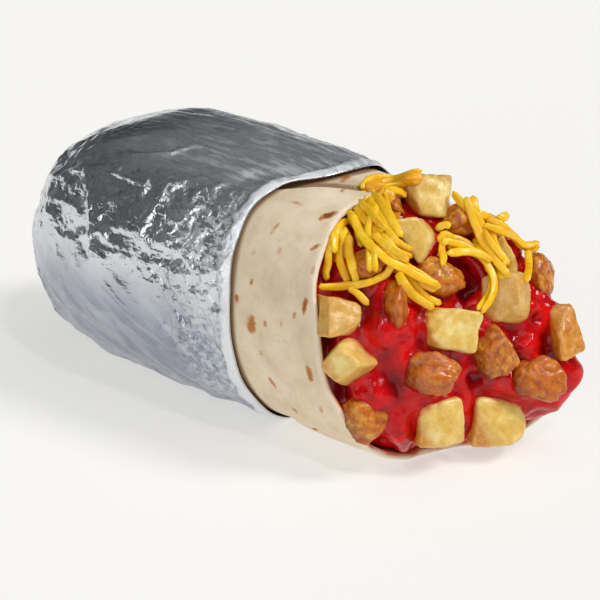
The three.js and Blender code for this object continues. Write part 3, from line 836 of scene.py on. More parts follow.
# Lobes and hollows of the heap: across, up, half width, half height, how far it stands out
SAUCE_LUMPS = (
    (-6.0, -31.5, 3.2, 5.0, 2.6), (10.2, -33.0, 3.6, 3.0, 2.8), (12.0, -21.0, 3.0, 5.5, 2.2),
    (37.0, -23.0, 6.0, 6.0, 3.0), (40.0, -12.0, 4.0, 5.0, 2.0), (29.5, 3.0, 3.0, 6.0, 2.2),
    (12.5, -13.5, 3.5, 3.0, 2.0), (25.0, -18.0, 4.0, 4.0, 2.6), (-8.0, -6.0, 4.5, 6.0, 2.2),
    (-14.0, -20.0, 5.0, 4.0, 1.8), (-3.0, -21.0, 4.5, 3.0, 2.0), (-16.0, 3.0, 5.0, 5.0, -1.6),
    (-13.0, -3.0, 2.2, 5.0, 1.9), (-9.5, -9.0, 2.4, 2.6, -1.2), (-28.0, -6.0, 2.0, 2.2, -2.6),
    (-24.5, -20.5, 4.0, 2.2, -3.0), (13.0, 8.5, 2.4, 2.4, -3.0), (16.0, -5.0, 2.2, 2.0, 1.6),
    (30.0, 1.0, 1.8, 1.8, -2.0), (26.0, -12.5, 1.8, 3.0, -1.8), (43.0, 3.0, 3.0, 5.0, 2.4),
    (3.0, 3.8, 3.0, 1.8, 1.8), (43.0, -16.0, 5.0, 9.0, 2.6), (36.0, -26.0, 8.0, 5.0, 1.6),
    (36.0, 6.0, 3.0, 4.0, 1.6), (-12.0, 1.0, 2.4, 7.0, 1.4), (-5.0, -11.0, 5.0, 2.4, 1.2),
    (29.0, -5.0, 2.4, 6.0, 1.6), (20.0, -18.0, 5.0, 2.2, 1.6), (-6.0, -33.0, 3.0, 5.0, 1.4),
    (11.5, -28.0, 2.2, 6.0, 1.4), (-8.0, -16.5, 3.0, 2.6, -0.9), (13.5, -15.5, 2.6, 2.8, -1.5),
    (24.5, -10.5, 1.8, 3.6, -1.6), (35.5, -8.0, 3.0, 2.0, -1.5), (-6.0, -21.0, 2.4, 2.2, -1.3),
)


def filling_inset(share, angle):
    gone = np.mod(angle - free_edge_angle(share), 360)
    under_lap = 1 - smoothstep(gone, OVERLAP + 8, OVERLAP + 24)
    into_tuck = smoothstep(gone, TUCK_FROM - 16, TUCK_TO - 16)
    return SHEET + 0.6 + (SHEET + LAYER_GAP) * np.maximum(under_lap, into_tuck)


def heap_grid(columns, rises):
    angles = free_edge_angle(1.0) + np.arange(columns) * 360 / columns
    rim = roll_point(mouth_x(angles) - HEAP_RECESS, angles, filling_inset(1.0, angles))
    middle = rim.mean(axis=0)
    grid = []
    for rise in np.radians(rises):
        inward = math.cos(rise) ** HEAP_FULLNESS
        grid.append(middle + (rim - middle) * inward + HEAP_OUT * HEAP_BULGE * math.sin(rise))
    return np.array(grid)


def tube(centres, radii, sides):
    """A closed round tube along centres, with a radius for each centre."""
    ahead = unit(np.gradient(centres, axis=0))
    wide = unit(np.cross(NEAR_OUT, ahead))
    thick = np.cross(ahead, wide)
    turn = np.arange(sides) * 2 * math.pi / sides
    rings = centres[:, None] + radii[:, None, None] * (
        wide[:, None] * np.cos(turn)[None, :, None] + thick[:, None] * np.sin(turn)[None, :, None]
    )
    return closed_grid(rings, [centres[0], centres[-1]])


def curve_through(places, count):
    """count points at even steps along a smooth curve through places."""
    p = np.asarray(places, float)
    ends = np.concatenate([[2 * p[0] - p[1]], p, [2 * p[-1] - p[-2]]])
    fine = []
    for k in range(len(p) - 1):
        a, b, c, d = ends[k : k + 4]
        for t in np.linspace(0, 1, 24, endpoint=False):
            fine.append(0.5 * (2 * b + (c - a) * t + (2 * a - 5 * b + 4 * c - d) * t * t
                               + (3 * b - a - 3 * c + d) * t**3))
    fine = np.array(fine + [p[-1]])
    gone = np.concatenate([[0], np.cumsum(np.linalg.norm(np.diff(fine, axis=0), axis=1))])
    wanted = np.linspace(0, gone[-1], count)
    return np.stack([np.interp(wanted, gone, fine[:, k]) for k in range(fine.shape[1])], axis=1)


# Thick arches of sauce: way in across and up, radius, how far above the heap
SAUCE_RIBBONS = (
    (((4, 18.6), (8, 19), (12, 17.4), (15.2, 13), (15.8, 8.5), (13.5, 5), (10, 3.6)), 2.3, 0.3),
    (((20.5, 23.5), (22.6, 21), (24.6, 17.5), (26.2, 14.5)), 2.5, 0.6),
)


def level_at(tree, across, up):
    """The level of a tree's outermost point there, or else lower down, or on the way to the middle."""
    ways = [(across, up - 0.5 * k) for k in range(12)]
    share = 0.96
    while share >= 0.5:
        ways.append((across * share, up * share))
        share -= 0.04
    for a, u in ways:
        hit = tree.ray_cast(Vector(near_place(a, u, RAY_START)), Vector(-NEAR_OUT))
        if hit[0] is not None:
            return float((np.array(hit[0]) - MOUTH_CENTRE) @ NEAR_OUT)
    return None


def sauce_piece(chunks):
    columns = SAUCE_COLUMNS
    plug = []
    for share in (np.linspace(0, 1, PLUG_ROWS + 1) ** 0.7)[:-1]:
        angles = free_edge_angle(share) + np.arange(columns) * 360 / columns
        x = SHEET_TAIL_X + 1 + (mouth_x(angles) - HEAP_RECESS - SHEET_TAIL_X - 1) * share
        plug.append(roll_point(x, angles, filling_inset(share, angles)))
    heap = heap_grid(columns, np.linspace(0.5, 89.3, HEAP_ROWS))
    p = heap.reshape(-1, 3)
    normal = grid_normals(heap).reshape(-1, 3)
    rise = np.repeat(np.linspace(0, 1, HEAP_ROWS), columns)
    free = smoothstep(rise, 0.0, 0.1)
    across = (p - MOUTH_CENTRE) @ NEAR_RIGHT
    up = (p - MOUTH_CENTRE) @ NEAR_UP
    lumps = 1.2 * noise(p, 10, 20) + 0.8 * noise(p, 4.6, 21) + 0.3 * noise(p, 2.6, 22) - SAUCE_DROP
    # How far each point lies in a hollow, for shade painted there
    hollow_shade = np.zeros(len(p))
    for a, u, wide, tall, height in SAUCE_LUMPS:
        mound = height * np.exp(-(((across - a) / wide) ** 2 + ((up - u) / tall) ** 2))
        lumps += mound
        hollow_shade = np.maximum(hollow_shade, -mound / 3)
    p = p + normal * (lumps * free)[:, None]
    tree = tree_of([(points, faces) for _, points, faces in chunks])
    climb = np.zeros(len(p))
    for k in range(len(p)):
        hit = tree.find_nearest(Vector(p[k]), CLIMB_REACH)
        if hit[0] is not None:
            climb[k] = max(0.0, 1 - hit[3] / CLIMB_REACH)
    p = p + normal * (0.8 * climb**2 * free)[:, None]
    grid = np.concatenate([np.array(plug), p.reshape(HEAP_ROWS, columns, 3)])
    parts = [closed_grid(grid)]
    heap_tree = tree_of(parts)
    for places, radius, above in SAUCE_RIBBONS:
        flat = curve_through(places, 30)
        levels = np.array([level_at(heap_tree, a, u) for a, u in flat])
        for _ in range(6):
            levels[1:-1] = np.maximum(levels[1:-1], (levels[:-2] + levels[2:]) / 2)
        centres = np.array([near_place(a, u, lv + above) for (a, u), lv in zip(flat, levels)])
        t = np.linspace(-1, 1, 30)
        radii = radius * (1 - np.abs(t) ** 4) ** 0.5 * (1 + 0.14 * np.sin(7 * t + radius)) + 0.05
        parts.append(tube(centres, radii, 14))
    points, faces = joined(parts)
    # Shade painted into the sauce's colour in its hollows and low places
    painted_shade = np.zeros(len(points))
    first = len(plug) * columns
    painted_shade[first : first + len(p)] = np.clip(hollow_shade + smoothstep(-lumps, 0.8, 2.8), 0, 1)
    return mesh_object("sauce", points, faces, {"painted_shade": painted_shade}), parts


# Shredded cheese, each strand the way it lies in across and up

SHRED_WIDE, SHRED_THICK = 2.4, 1.4
LEFT_STRANDS = (
    ((-20.3, 34), (-22.8, 29.3), (-25, 24.4), (-26.3, 19.4), (-27.1, 14.5), (-26.9, 10.1)),
    ((-18.9, 34.8), (-20.6, 31), (-20.3, 27.1), (-18.9, 24.7)),
    ((-17.5, 37), (-19.2, 33.2), (-18.6, 28.8), (-17, 24.4)),
    ((-23.6, 29.9), (-24.4, 26.3), (-25.5, 22.2), (-26.3, 17.8)),
    ((-22.2, 24.4), (-23.6, 20.5), (-23.6, 16.1), (-22.2, 12.8), (-20.8, 9.8)),
    ((-21.1, 22.7), (-20.8, 17.8), (-19.7, 13.7), (-18.6, 9.8)),
    ((-16.4, 38.4), (-14.2, 34.3), (-12.6, 30.4), (-11, 26.3), (-9.3, 22.2), (-7.1, 19.2), (-4.6, 17.5)),
    (
        (-15.9, 35.9), (-13.7, 32.1), (-12.9, 29.6), (-14.8, 26.6),
        (-15.9, 23.3), (-15.3, 19.4), (-15.1, 16.1), (-15.1, 12.6),
    ),
    ((-14.2, 36.7), (-12.1, 33.2), (-10.7, 29.3), (-9.6, 25.2), (-8.2, 21.6)),
    (
        (-18.1, 29), (-17.3, 25.5), (-15.3, 21.9), (-12.6, 18.9), (-9.9, 16.1),
        (-6.6, 13.9), (-3.8, 11.7), (-0.2, 9.6), (2.8, 8.2),
    ),
    (
        (-16.7, 27.1), (-14.5, 23.3), (-11.2, 19.4), (-8.2, 16.4),
        (-5.7, 14.5), (-1.6, 12.3), (1.4, 10.4), (3.9, 9),
    ),
    ((-12.6, 24.4), (-10.1, 20.5), (-7.4, 17.5), (-4.9, 15.6)),
    ((-8.5, 15), (-5.7, 12), (-3.3, 9.3), (0, 6.5), (4.1, 4.6)),
    ((-7.7, 12.8), (-6.3, 10.1), (-3.8, 7.1), (-0.8, 4.9), (2.2, 3.2)),
    ((-29.3, 8.5), (-25, 8.5), (-20.8, 9), (-16.7, 9.6), (-13.1, 10.9), (-10.4, 12.6), (-9, 15)),
    ((-21.1, 8.5), (-18.6, 6.8), (-16.7, 5.2), (-15.3, 3.8)),
    ((-18.6, 35.9), (-16.4, 38.6), (-13.1, 39.2), (-9.9, 39.2)),
    ((-14.8, 37.6), (-11.2, 38.4), (-8.2, 39.5), (-4.4, 40.6), (-1.9, 41.1)),
    ((-13.1, 35.9), (-10.1, 36.7), (-7.7, 37.3), (-5.7, 38.6)),
    ((-12.1, 34.3), (-9.9, 35.4), (-7.7, 35.1), (-6, 33.7)),
    ((-19.2, 25.5), (-18.4, 22.2), (-17.8, 19.4)),
    ((-14.2, 26), (-13.4, 22.7), (-11.8, 20), (-9.6, 17.8)),
    ((-17, 33.2), (-15.1, 29.9), (-13.7, 26.6), (-12.1, 23.3)),
)
RIGHT_STRANDS = (
    ((6.6, 35.6), (8.3, 33.4), (10.5, 31.5), (12.7, 30.1)),
    ((12.1, 34.5), (12.9, 31), (13.8, 26.8), (14.9, 23), (16.5, 19.4), (18.4, 15.6), (21.2, 12)),
    ((15.7, 28.2), (15.9, 24.9), (17, 21.6), (18.7, 18.3), (20.1, 15), (22.5, 12.3)),
    ((13.2, 29.9), (15.9, 28.8), (18.1, 27.9), (19.8, 28.5), (22.3, 29.6)),
    ((15.9, 28.2), (19, 26.8), (21.7, 25.2), (24.2, 23.3), (26.1, 21.4), (28.6, 20.8), (31, 21.1)),
    ((27.5, 20.5), (27.8, 17.5), (27.8, 14.5), (27.2, 10.9)),
    (
        (3, 21.4), (4.4, 23.6), (6.6, 22.7), (9.9, 21.6), (12.7, 20), (15.1, 17.5),
        (17, 14.5), (17.9, 11.2), (17.3, 7.9), (15.7, 5.4), (13.8, 3.2),
    ),
    ((4.1, 22.7), (3.9, 19.4), (4.4, 17), (4.1, 14.5)),
    ((2.2, 24.7), (4.1, 26), (6.3, 26.3)),
    ((5.5, 20.3), (8.8, 20), (12.1, 19.2), (14.6, 17.8), (16.5, 15.6)),
    ((13.2, 23.3), (14.3, 19.7), (16.2, 16.4), (17.3, 13.1)),
    ((14.3, 26), (15.4, 23), (16.5, 20.3), (17.9, 17.5)),
    ((17.3, 25.5), (17.9, 22.2), (19.5, 18.6), (21.2, 15)),
    ((9.9, 31.8), (12.1, 29.9), (14.3, 27.4), (15.9, 24.4)),
)


def beside(ways, picks, shift):
    """Some of the ways once more, running beside the first ones and then across them."""
    more = []
    for k in picks:
        way = np.array(ways[k], float)
        ahead = unit(np.gradient(way, axis=0))
        over = shift * np.linspace(1, -0.7, len(way))
        sideways = np.stack([ahead[:, 1], -ahead[:, 0]], axis=1)
        more.append(tuple(map(tuple, way + over[:, None] * sideways)))
    return tuple(more)


# Cheese higher up than this lies on the tortilla's far rim
SHEET_TOP = 33.0
MELT_RISE = 0.6


def strand_points(way, ground, laid, draw):
    length = sum(math.dist(a, b) for a, b in zip(way[:-1], way[1:]))
    count = max(10, int(length / 0.75))
    flat = curve_through(way, count)
    flat[1:-1] += 0.25 * np.stack([np.convolve(draw.normal(size=count), np.ones(7) / 7, "same")[1:-1]
                                   for _ in range(2)], axis=1)
    ahead = unit(np.gradient(flat, axis=0))
    levels = []
    for (a, u), (da, du) in zip(flat, ahead):
        rises = []
        for share in (-0.4, 0.0, 0.4):
            sa, su = a - du * share * SHRED_WIDE, u + da * share * SHRED_WIDE
            base = level_at(ground, sa, su)
            if base is not None:
                rises.append(base)
            if laid is not None:
                hit = laid.ray_cast(Vector(near_place(sa, su, RAY_START)), Vector(-NEAR_OUT))
                if hit[0] is not None:
                    rises.append(float((np.array(hit[0]) - MOUTH_CENTRE) @ NEAR_OUT) - 0.35)
        levels.append(max(rises + [-8.0]))
    levels = np.array(levels)
    for _ in range(14):
        levels[1:-1] = np.maximum(levels[1:-1] - 0.04, (levels[:-2] + levels[2:]) / 2)
    kernel = np.array([1, 2, 3, 2, 1]) / 9
    padded = np.pad(levels, 2, mode="edge")
    levels = np.convolve(padded, kernel, "valid")
    wide = SHRED_WIDE * draw.uniform(0.82, 1.1)
    thick = SHRED_THICK * draw.uniform(0.8, 1.05)
    centres = np.array([near_place(a, u, lv + thick * 0.36) for (a, u), lv in zip(flat, levels)])
    return centres, wide, thick


def ribbon(centres, wide, thick, draw):
    """A strand with a soft square section, tapered and rounded at its ends."""
    sides = 12
    count = len(centres)
    ahead = unit(np.gradient(centres, axis=0))
    across = unit(np.cross(NEAR_OUT, ahead))
    over = np.cross(ahead, across)
    twist = draw.uniform(-0.35, 0.35) + draw.uniform(-0.5, 0.5) * np.linspace(-1, 1, count)
    a = across * np.cos(twist)[:, None] + over * np.sin(twist)[:, None]
    b = over * np.cos(twist)[:, None] - across * np.sin(twist)[:, None]
    gone = np.concatenate([[0], np.cumsum(np.linalg.norm(np.diff(centres, axis=0), axis=1))])
    to_end = np.minimum(gone, gone[-1] - gone)
    taper = np.sqrt(np.clip(1 - (1 - np.clip(to_end / 0.8, 0, 1)) ** 2, 0.05, 1))
    taper *= 0.86 + 0.14 * smoothstep(to_end, 0, 5)
    swell = 1 + 0.08 * np.sin(np.linspace(0, draw.uniform(5, 14), count) + draw.uniform(0, 6))
    turn = np.arange(sides) * 2 * math.pi / sides
    cu, su = signed_power(np.cos(turn), 0.62), signed_power(np.sin(turn), 0.62)
    size_a = (wide / 2 * taper * swell)[:, None, None]
    size_b = (thick / 2 * taper)[:, None, None]
    rings = centres[:, None] + size_a * a[:, None] * cu[None, :, None]
    rings = rings + size_b * b[:, None] * su[None, :, None]
    points = rings.reshape(-1, 3)
    points = points + 0.07 * noise(points, 1.1, 77)[:, None] * NEAR_OUT
    return closed_grid(points.reshape(rings.shape), [centres[0], centres[-1]])


def melt_blob(across, up, level, half, seed):
    """A soft flattened blob of melted cheese."""
    points, faces = cube_sphere(18)
    way = unit(points)
    way = way * (1 + 0.22 * noise(way + seed, 0.8, 900 + seed))[:, None]
    axes = np.stack([NEAR_RIGHT, NEAR_UP, NEAR_OUT])
    return near_place(across, up, level) + (way * np.array(half)) @ axes, faces


LEFT_MELTS = (
    (-7.7, 37.6, (5.5, 2.6, 2.6), 1), (-14.8, 36.0, (3.3, 2.4, 1.4), 2),
    (-11.0, 23.3, (3.2, 5.2, 0.9), 3), (-22.5, 18.0, (2.6, 6.6, 0.9), 4),
    (-8.2, 14.5, (3.6, 1.8, 0.9), 5), (-16.7, 29.9, (3.4, 4.6, 0.9), 6),
    (-4.4, 38.8, (2.8, 2.0, 2.4), 7), (-13.0, 33.0, (3.6, 3.0, 0.9), 12),
    (-20.5, 27.5, (2.8, 5.0, 0.8), 13), (-14.6, 20.5, (2.6, 4.4, 0.8), 14),
    (-9.6, 29.0, (2.2, 4.4, 0.9), 15), (-12.0, 31.5, (3.4, 5.0, 1.2), 17),
    (-18.6, 32.0, (2.4, 4.4, 1.0), 18),
)
RIGHT_MELTS = (
    (15.9, 26.0, (2.2, 2.9, 1.1), 8), (6.6, 21.4, (2.7, 1.8, 0.9), 9),
    (16.4, 18.2, (2.0, 3.4, 0.9), 10), (11.0, 31.0, (1.8, 1.6, 0.8), 11),
    (12.6, 20.2, (3.0, 1.6, 0.8), 16),
)


def cheese_piece(name, ways, melts, ground, seed):
    draw = np.random.default_rng(seed)
    strands, laid, blobs = [], None, []
    for way in ways:
        centres, wide, thick = strand_points(way, ground, laid, draw)
        if min(u for _, u in way) < SHEET_TOP:
            centres = keep_inside(centres)
        strands.append(ribbon(centres, wide, thick, draw))
        laid = tree_of(strands)
    for across, up, half, k in melts:
        level = level_at(ground, across, up) or 0.0
        points, faces = melt_blob(across, up, level + MELT_RISE, half, k)
        blobs.append((points if up > SHEET_TOP else keep_inside(points), faces))
    shade = [np.full(len(points), draw.uniform(0, 0.45)) for points, _ in strands]
    shade += [np.ones(len(points)) for points, _ in blobs]
    return mesh_object(name, *joined(strands + blobs), {"melted": np.concatenate(shade)})


def add_depth(chunks, tree):
    """Keeps, at each point of the chunks, how far in front of the sauce it lies."""
    for obj, points, _ in chunks:
        above = np.full(len(points), DEPTH_REACH)
        for k, point in enumerate(points):
            spot, normal, _, away = tree.find_nearest(Vector(point), DEPTH_REACH)
            if spot is not None:
                above[k] = away if (Vector(point) - spot).dot(normal) > 0 else -away
        attribute = obj.data.attributes.new("above", "FLOAT", "POINT")
        attribute.data.foreach_set("value", above.astype(np.float32))


# Materials


def srgb(colour):
    """The linear colour of a screen colour given from 0 to 255."""
    share = [c / 255 for c in colour]
    return tuple(c / 12.92 if c <= 0.04045 else ((c + 0.055) / 1.055) ** 2.4 for c in share)


def add_node(tree, kind, inputs, **settings):
    """A node with its settings made, and its inputs given a value or wired to another node."""
    node = tree.nodes.new("ShaderNode" + kind)
    for key, value in settings.items():
        setattr(node, key, value)
    for key, value in inputs.items():
        if isinstance(value, bpy.types.NodeSocket):
            tree.links.new(value, node.inputs[key])
        else:
            node.inputs[key].default_value = value
    return node


def add_ramp(tree, fac, stops):
    node = add_node(tree, "ValToRGB", {"Fac": fac})
    elements = node.color_ramp.elements
    while len(elements) < len(stops):
        elements.new(0.5)
    for element, (position, colour) in zip(elements, stops):
        element.position = position
        element.color = (*colour, 1)
    return node.outputs["Color"]


class Look:
    """Builds a material round one Principled shader."""

    def __init__(self, name):
        self.material = bpy.data.materials.new(name)
        self.material.use_nodes = True
        self.tree = self.material.node_tree
        self.shader = self.tree.nodes["Principled BSDF"]
        self.place = self.node("TexCoord", {}).outputs["Object"]

    def node(self, kind, inputs, **settings):
        return add_node(self.tree, kind, inputs, **settings)

    def set(self, **values):
        for key, value in values.items():
            self.shader.inputs[key.replace("_", " ")].default_value = value

    def link(self, output, socket):
        self.tree.links.new(output, self.shader.inputs[socket])

    def noise(self, size_mm, detail=2.0, roughness=0.5, stretch=None, distortion=0.0):
        inputs = {"Vector": self.place, "Scale": 1 / (size_mm * MM), "Detail": detail}
        inputs |= {"Roughness": roughness, "Distortion": distortion}
        if stretch:
            mapping = self.node("Mapping", {"Vector": self.place, "Scale": stretch})
            inputs["Vector"] = mapping.outputs["Vector"]
        return self.node("TexNoise", inputs).outputs["Fac"]

    def cells(self, size_mm, wander_mm):
        """Flat-sided pits with sharp creases between them."""
        bend = self.node("TexNoise", {"Vector": self.place, "Scale": 1 / (2.4 * size_mm * MM)})
        inputs = {0: bend.outputs["Color"], 1: (2 * wander_mm * MM,) * 3, 2: self.place}
        shift = self.node("VectorMath", inputs, operation="MULTIPLY_ADD")
        inputs = {"Vector": shift.outputs["Vector"], "Scale": 1 / (size_mm * MM)}
        return self.node("TexVoronoi", inputs, feature="F1", distance="CHEBYCHEV").outputs["Distance"]

    def attribute(self, name):
        return self.node("Attribute", {}, attribute_name=name).outputs["Fac"]

    def ramp(self, fac, stops):
        return add_ramp(self.tree, fac, [(position, srgb(colour)) for position, colour in stops])

    def range(self, fac, low, high, to_low=0.0, to_high=1.0):
        inputs = {"Value": fac, "From Min": low, "From Max": high, "To Min": to_low, "To Max": to_high}
        return self.node("MapRange", inputs, interpolation_type="SMOOTHSTEP").outputs["Result"]

    def mix(self, fac, a, b):
        a, b = ((*srgb(value), 1) if isinstance(value, tuple) else value for value in (a, b))
        return self.node("Mix", {"Factor": fac, 6: a, 7: b}, data_type="RGBA").outputs[2]

    def math(self, kind, a, b):
        return self.node("Math", {0: a, 1: b}, operation=kind).outputs["Value"]

    def times(self, a, b):
        return self.math("MULTIPLY", a, b)

    def plus(self, a, b):
        return self.math("ADD", a, b)

    def most(self, a, b):
        return self.math("MAXIMUM", a, b)

    def stain_or_painted_light(self, share, base, colour, amount):
        """The base with a colour over it, by a share from 0 to 1; used for real stains and for painted
        light and shade.
        """
        return self.mix(self.times(share, amount), base, colour)

    def roughness(self, size_mm, detail, noise_range, low, high):
        self.link(self.range(self.noise(size_mm, detail), *noise_range, low, high), "Roughness")

    def sauce_stain_and_shade(self):
        """1 where sauce reaches up a chunk, fading over a ragged edge: a real sauce stain that also
        stands in for painted shade where chunk meets sauce.
        """
        ragged = self.plus(self.attribute("above"), self.times(self.noise(1.8, 3), 1.6))
        return self.range(ragged, 2.4, 0.6)

    def bump(self, height, distance_mm, strength):
        inputs = {"Height": height, "Distance": distance_mm * MM, "Strength": strength}
        self.link(self.node("Bump", inputs).outputs["Normal"], "Normal")


def foil_look():
    look = Look("foil")
    names = ("painted_dark_underside", "cuffed", "crinkled", "brushed", "frosted", "painted_light_streaks")
    painted_dark_underside, cuffed, crinkled, brushed, frosted, painted_light_streaks = (look.attribute(name) for name in names)
    dull = look.most(look.times(cuffed, 0.4), look.times(brushed, 0.19))
    flecks = look.range(look.noise(1.7, 4, 0.68, stretch=(0.6, 1, 1)), 0.44, 0.56)
    frost = look.times(look.times(frosted, flecks), 0.6)
    dull = look.most(dull, frost)
    look.link(look.math("SUBTRACT", 1.0, dull), "Metallic")
    tone = look.noise(14, 3)
    clean = look.ramp(tone, ((0.3, (206, 209, 213)), (0.7, (226, 228, 232))))
    # Darker, bluish colour painted on the underside: a painted reflection of the floor in shade
    shaded_underside_colour = look.ramp(tone, ((0.3, (144, 149, 164)), (0.7, (166, 171, 184))))
    base = look.mix(look.times(painted_dark_underside, look.range(look.noise(7, 3), 0.25, 0.5, 0.6, 1.0)), clean, shaded_underside_colour)
    # Paler streaks painted over the dark underside: painted reflections
    base = look.stain_or_painted_light(painted_light_streaks, base, (194, 197, 206), 0.5)
    look.link(look.mix(look.most(cuffed, frost), base, (232, 234, 238)), "Base Color")
    rough = look.range(look.noise(6, 3), 0.3, 0.7, 0.1, 0.2)
    streaky = look.range(look.noise(1.8, 3, 0.6, stretch=(0.16, 1, 1)), 0.42, 0.62)
    shares = ((painted_dark_underside, 0.1), (cuffed, 0.2), (look.times(brushed, streaky), 0.34), (crinkled, 0.08))
    for share, amount in shares:
        rough = look.plus(rough, look.times(share, amount))
    look.link(rough, "Roughness")
    crumple = look.plus(look.times(look.cells(4.2, 2.0), 0.7), look.times(look.cells(2.0, 1.0), 0.3))
    crumple = look.times(crumple, look.range(crinkled, 0.0, 1.0, 0.06, 1.0))
    grain = look.noise(1.4, 3, 0.6, stretch=(0.18, 1, 1))
    look.bump(look.plus(crumple, look.times(grain, 0.14)), 1.2, 1.0)
    return look.material


def tortilla_look():
    look = Look("tortilla")
    cloudy = look.noise(9, 4, 0.6)
    base = look.ramp(cloudy, ((0.3, (216, 196, 164)), (0.5, (229, 210, 180)), (0.72, (238, 223, 198))))
    base = look.stain_or_painted_light(look.range(look.noise(1.3, 3, 0.65), 0.56, 0.72), base, (196, 160, 112), 0.28)
    toast = look.attribute("toast")
    ragged = look.plus(toast, look.times(look.math("SUBTRACT", look.noise(0.8, 3, 0.6), 0.5), 0.5))
    tinged = look.times(look.range(ragged, 0.05, 0.6), look.range(toast, 0.0, 0.25))
    base = look.mix(tinged, base, (190, 122, 62))
    dark = look.times(look.range(ragged, 0.6, 1.05), look.range(toast, 0.2, 0.6))
    base = look.mix(dark, base, (112, 62, 30))
    base = look.stain_or_painted_light(look.attribute("foil_shade"), base, (124, 76, 34), 0.8)
    base = look.stain_or_painted_light(look.attribute("rim"), base, (238, 222, 200), 0.7)
    stained = look.times(look.attribute("inside"), look.range(look.noise(6, 2), 0.35, 0.6))
    look.link(look.stain_or_painted_light(stained, base, (214, 96, 40), 0.8), "Base Color")
    look.set(
        Roughness=0.72,
        Subsurface_Weight=0.12, Subsurface_Scale=1.2 * MM, Subsurface_Radius=(1.0, 0.6, 0.35),
    )
    look.bump(look.noise(0.9, 4, 0.62), 0.12, 0.7)
    return look.material


def sauce_look():
    look = Look("sauce")
    tone = look.noise(5, 3, 0.6)
    base = look.ramp(tone, ((0.3, (150, 2, 9)), (0.5, (196, 6, 12)), (0.68, (224, 14, 14))))
    # Painted shade: darker red in the sauce's hollows
    look.link(look.stain_or_painted_light(look.attribute("painted_shade"), base, (96, 0, 5), 0.75), "Base Color")
    look.roughness(3, 3, (0.35, 0.7), 0.1, 0.26)
    look.set(
        Subsurface_Weight=0.1, Subsurface_Scale=1.0 * MM, Subsurface_Radius=(1.0, 0.1, 0.08),
        Specular_IOR_Level=0.28,
    )
    look.bump(look.noise(2.0, 3, 0.55), 0.2, 0.5)
    return look.material


def potato_look():
    look = Look("potato")
    tone = look.noise(5.0, 3, 0.6)
    face = look.ramp(tone, ((0.32, (214, 168, 66)), (0.5, (224, 188, 94)), (0.66, (238, 214, 138))))
    gold = look.ramp(look.noise(3.2, 3, 0.6), ((0.35, (190, 110, 6)), (0.65, (210, 142, 22))))
    # Golden sides: the sides are fried golden, and on the side away from the key light the gold also
    # stands in for painted shade
    sides = look.times(look.range(look.attribute("local_z"), 0.6, 0.0), 0.55)
    sides = look.most(sides, look.times(look.range(look.attribute("painted_shade_side"), 0.35, 1.05), 0.85))
    base = look.mix(look.most(sides, look.attribute("golden")), face, gold)
    veins = look.range(look.noise(1.1, 3, 0.7, distortion=1.2), 0.5, 0.62)
    base = look.stain_or_painted_light(veins, base, (248, 236, 190), 0.16)
    # Paler edges: a painted highlight along every edge of the die
    edge = look.range(look.noise(2.2, 3), 0.35, 0.55)
    edge = look.times(look.range(look.attribute("painted_light_mask"), 0.86, 1.0), edge)
    base = look.stain_or_painted_light(edge, base, (244, 210, 140), 0.35)
    look.link(look.stain_or_painted_light(look.sauce_stain_and_shade(), base, (206, 70, 16), 0.8), "Base Color")
    look.roughness(1.6, 2, (0.3, 0.7), 0.28, 0.5)
    look.set(
        Subsurface_Weight=0.45, Subsurface_Scale=2.4 * MM, Subsurface_Radius=(1.0, 0.6, 0.18),
        Coat_Weight=0.12, Coat_Roughness=0.15,
    )
    look.bump(look.noise(1.0, 4, 0.65), 0.16, 0.6)
    return look.material


def sausage_look():
    look = Look("sausage")
    tone = look.noise(2.1, 4, 0.65)
    browns = (146, 68, 10), (188, 102, 16), (214, 142, 36), (240, 192, 88)
    base = look.ramp(tone, list(zip((0.28, 0.42, 0.56, 0.72), browns)))
    golden = look.times(look.range(look.noise(5.5, 2), 0.42, 0.62), 0.5)
    golden = look.most(golden, look.attribute("golden"))
    base = look.mix(golden, base, (188, 84, 8))
    # Painted shade: darker brown in the crevices and on the side away from the key light
    painted_shade = look.times(look.range(look.attribute("painted_light_mask"), 0.1, 0.75), 0.5)
    painted_shade = look.most(painted_shade, look.times(look.range(look.attribute("painted_shade_side"), 0.2, 1.1), 0.7))
    base = look.mix(painted_shade, base, (104, 38, 8))
    look.link(look.stain_or_painted_light(look.sauce_stain_and_shade(), base, (150, 26, 8), 0.75), "Base Color")
    look.roughness(1.4, 3, (0.35, 0.65), 0.18, 0.42)
    look.set(
        Subsurface_Weight=0.2, Subsurface_Scale=1.6 * MM, Subsurface_Radius=(1.0, 0.45, 0.15),
        Coat_Weight=0.28, Coat_Roughness=0.06, Specular_IOR_Level=0.4,
    )
    look.bump(look.noise(0.8, 3, 0.6), 0.24, 0.7)
    return look.material


def cheese_look():
    look = Look("cheese")
    yellows = ((0.3, (246, 183, 10)), (0.55, (251, 199, 20)), (0.8, (255, 215, 60)))
    base = look.ramp(look.noise(4, 2), yellows)
    melted = look.range(look.attribute("melted"), 0.2, 1.0, 0.0, 0.5)
    look.link(look.mix(melted, base, (232, 150, 16)), "Base Color")
    look.roughness(1.5, 2, (0.3, 0.7), 0.25, 0.45)
    look.set(
        Subsurface_Weight=0.3, Subsurface_Scale=0.8 * MM, Subsurface_Radius=(1.0, 0.7, 0.3),
        Coat_Weight=0.15, Coat_Roughness=0.12,
    )
    look.bump(look.noise(0.8, 2), 0.08, 0.5)
    return look.material


# The stage

# Half the floor's width, in metres
FLOOR_HALF = 6.0


def add_sun(name, direction, strength, spread, colour):
    light = bpy.data.lights.new(name, "SUN")
    light.energy, light.angle, light.color = strength, math.radians(spread), colour
    obj = bpy.data.objects.new(name, light)
    obj.rotation_mode = "QUATERNION"
    obj.rotation_quaternion = Vector(direction).to_track_quat("Z", "Y")
    bpy.context.scene.collection.objects.link(obj)


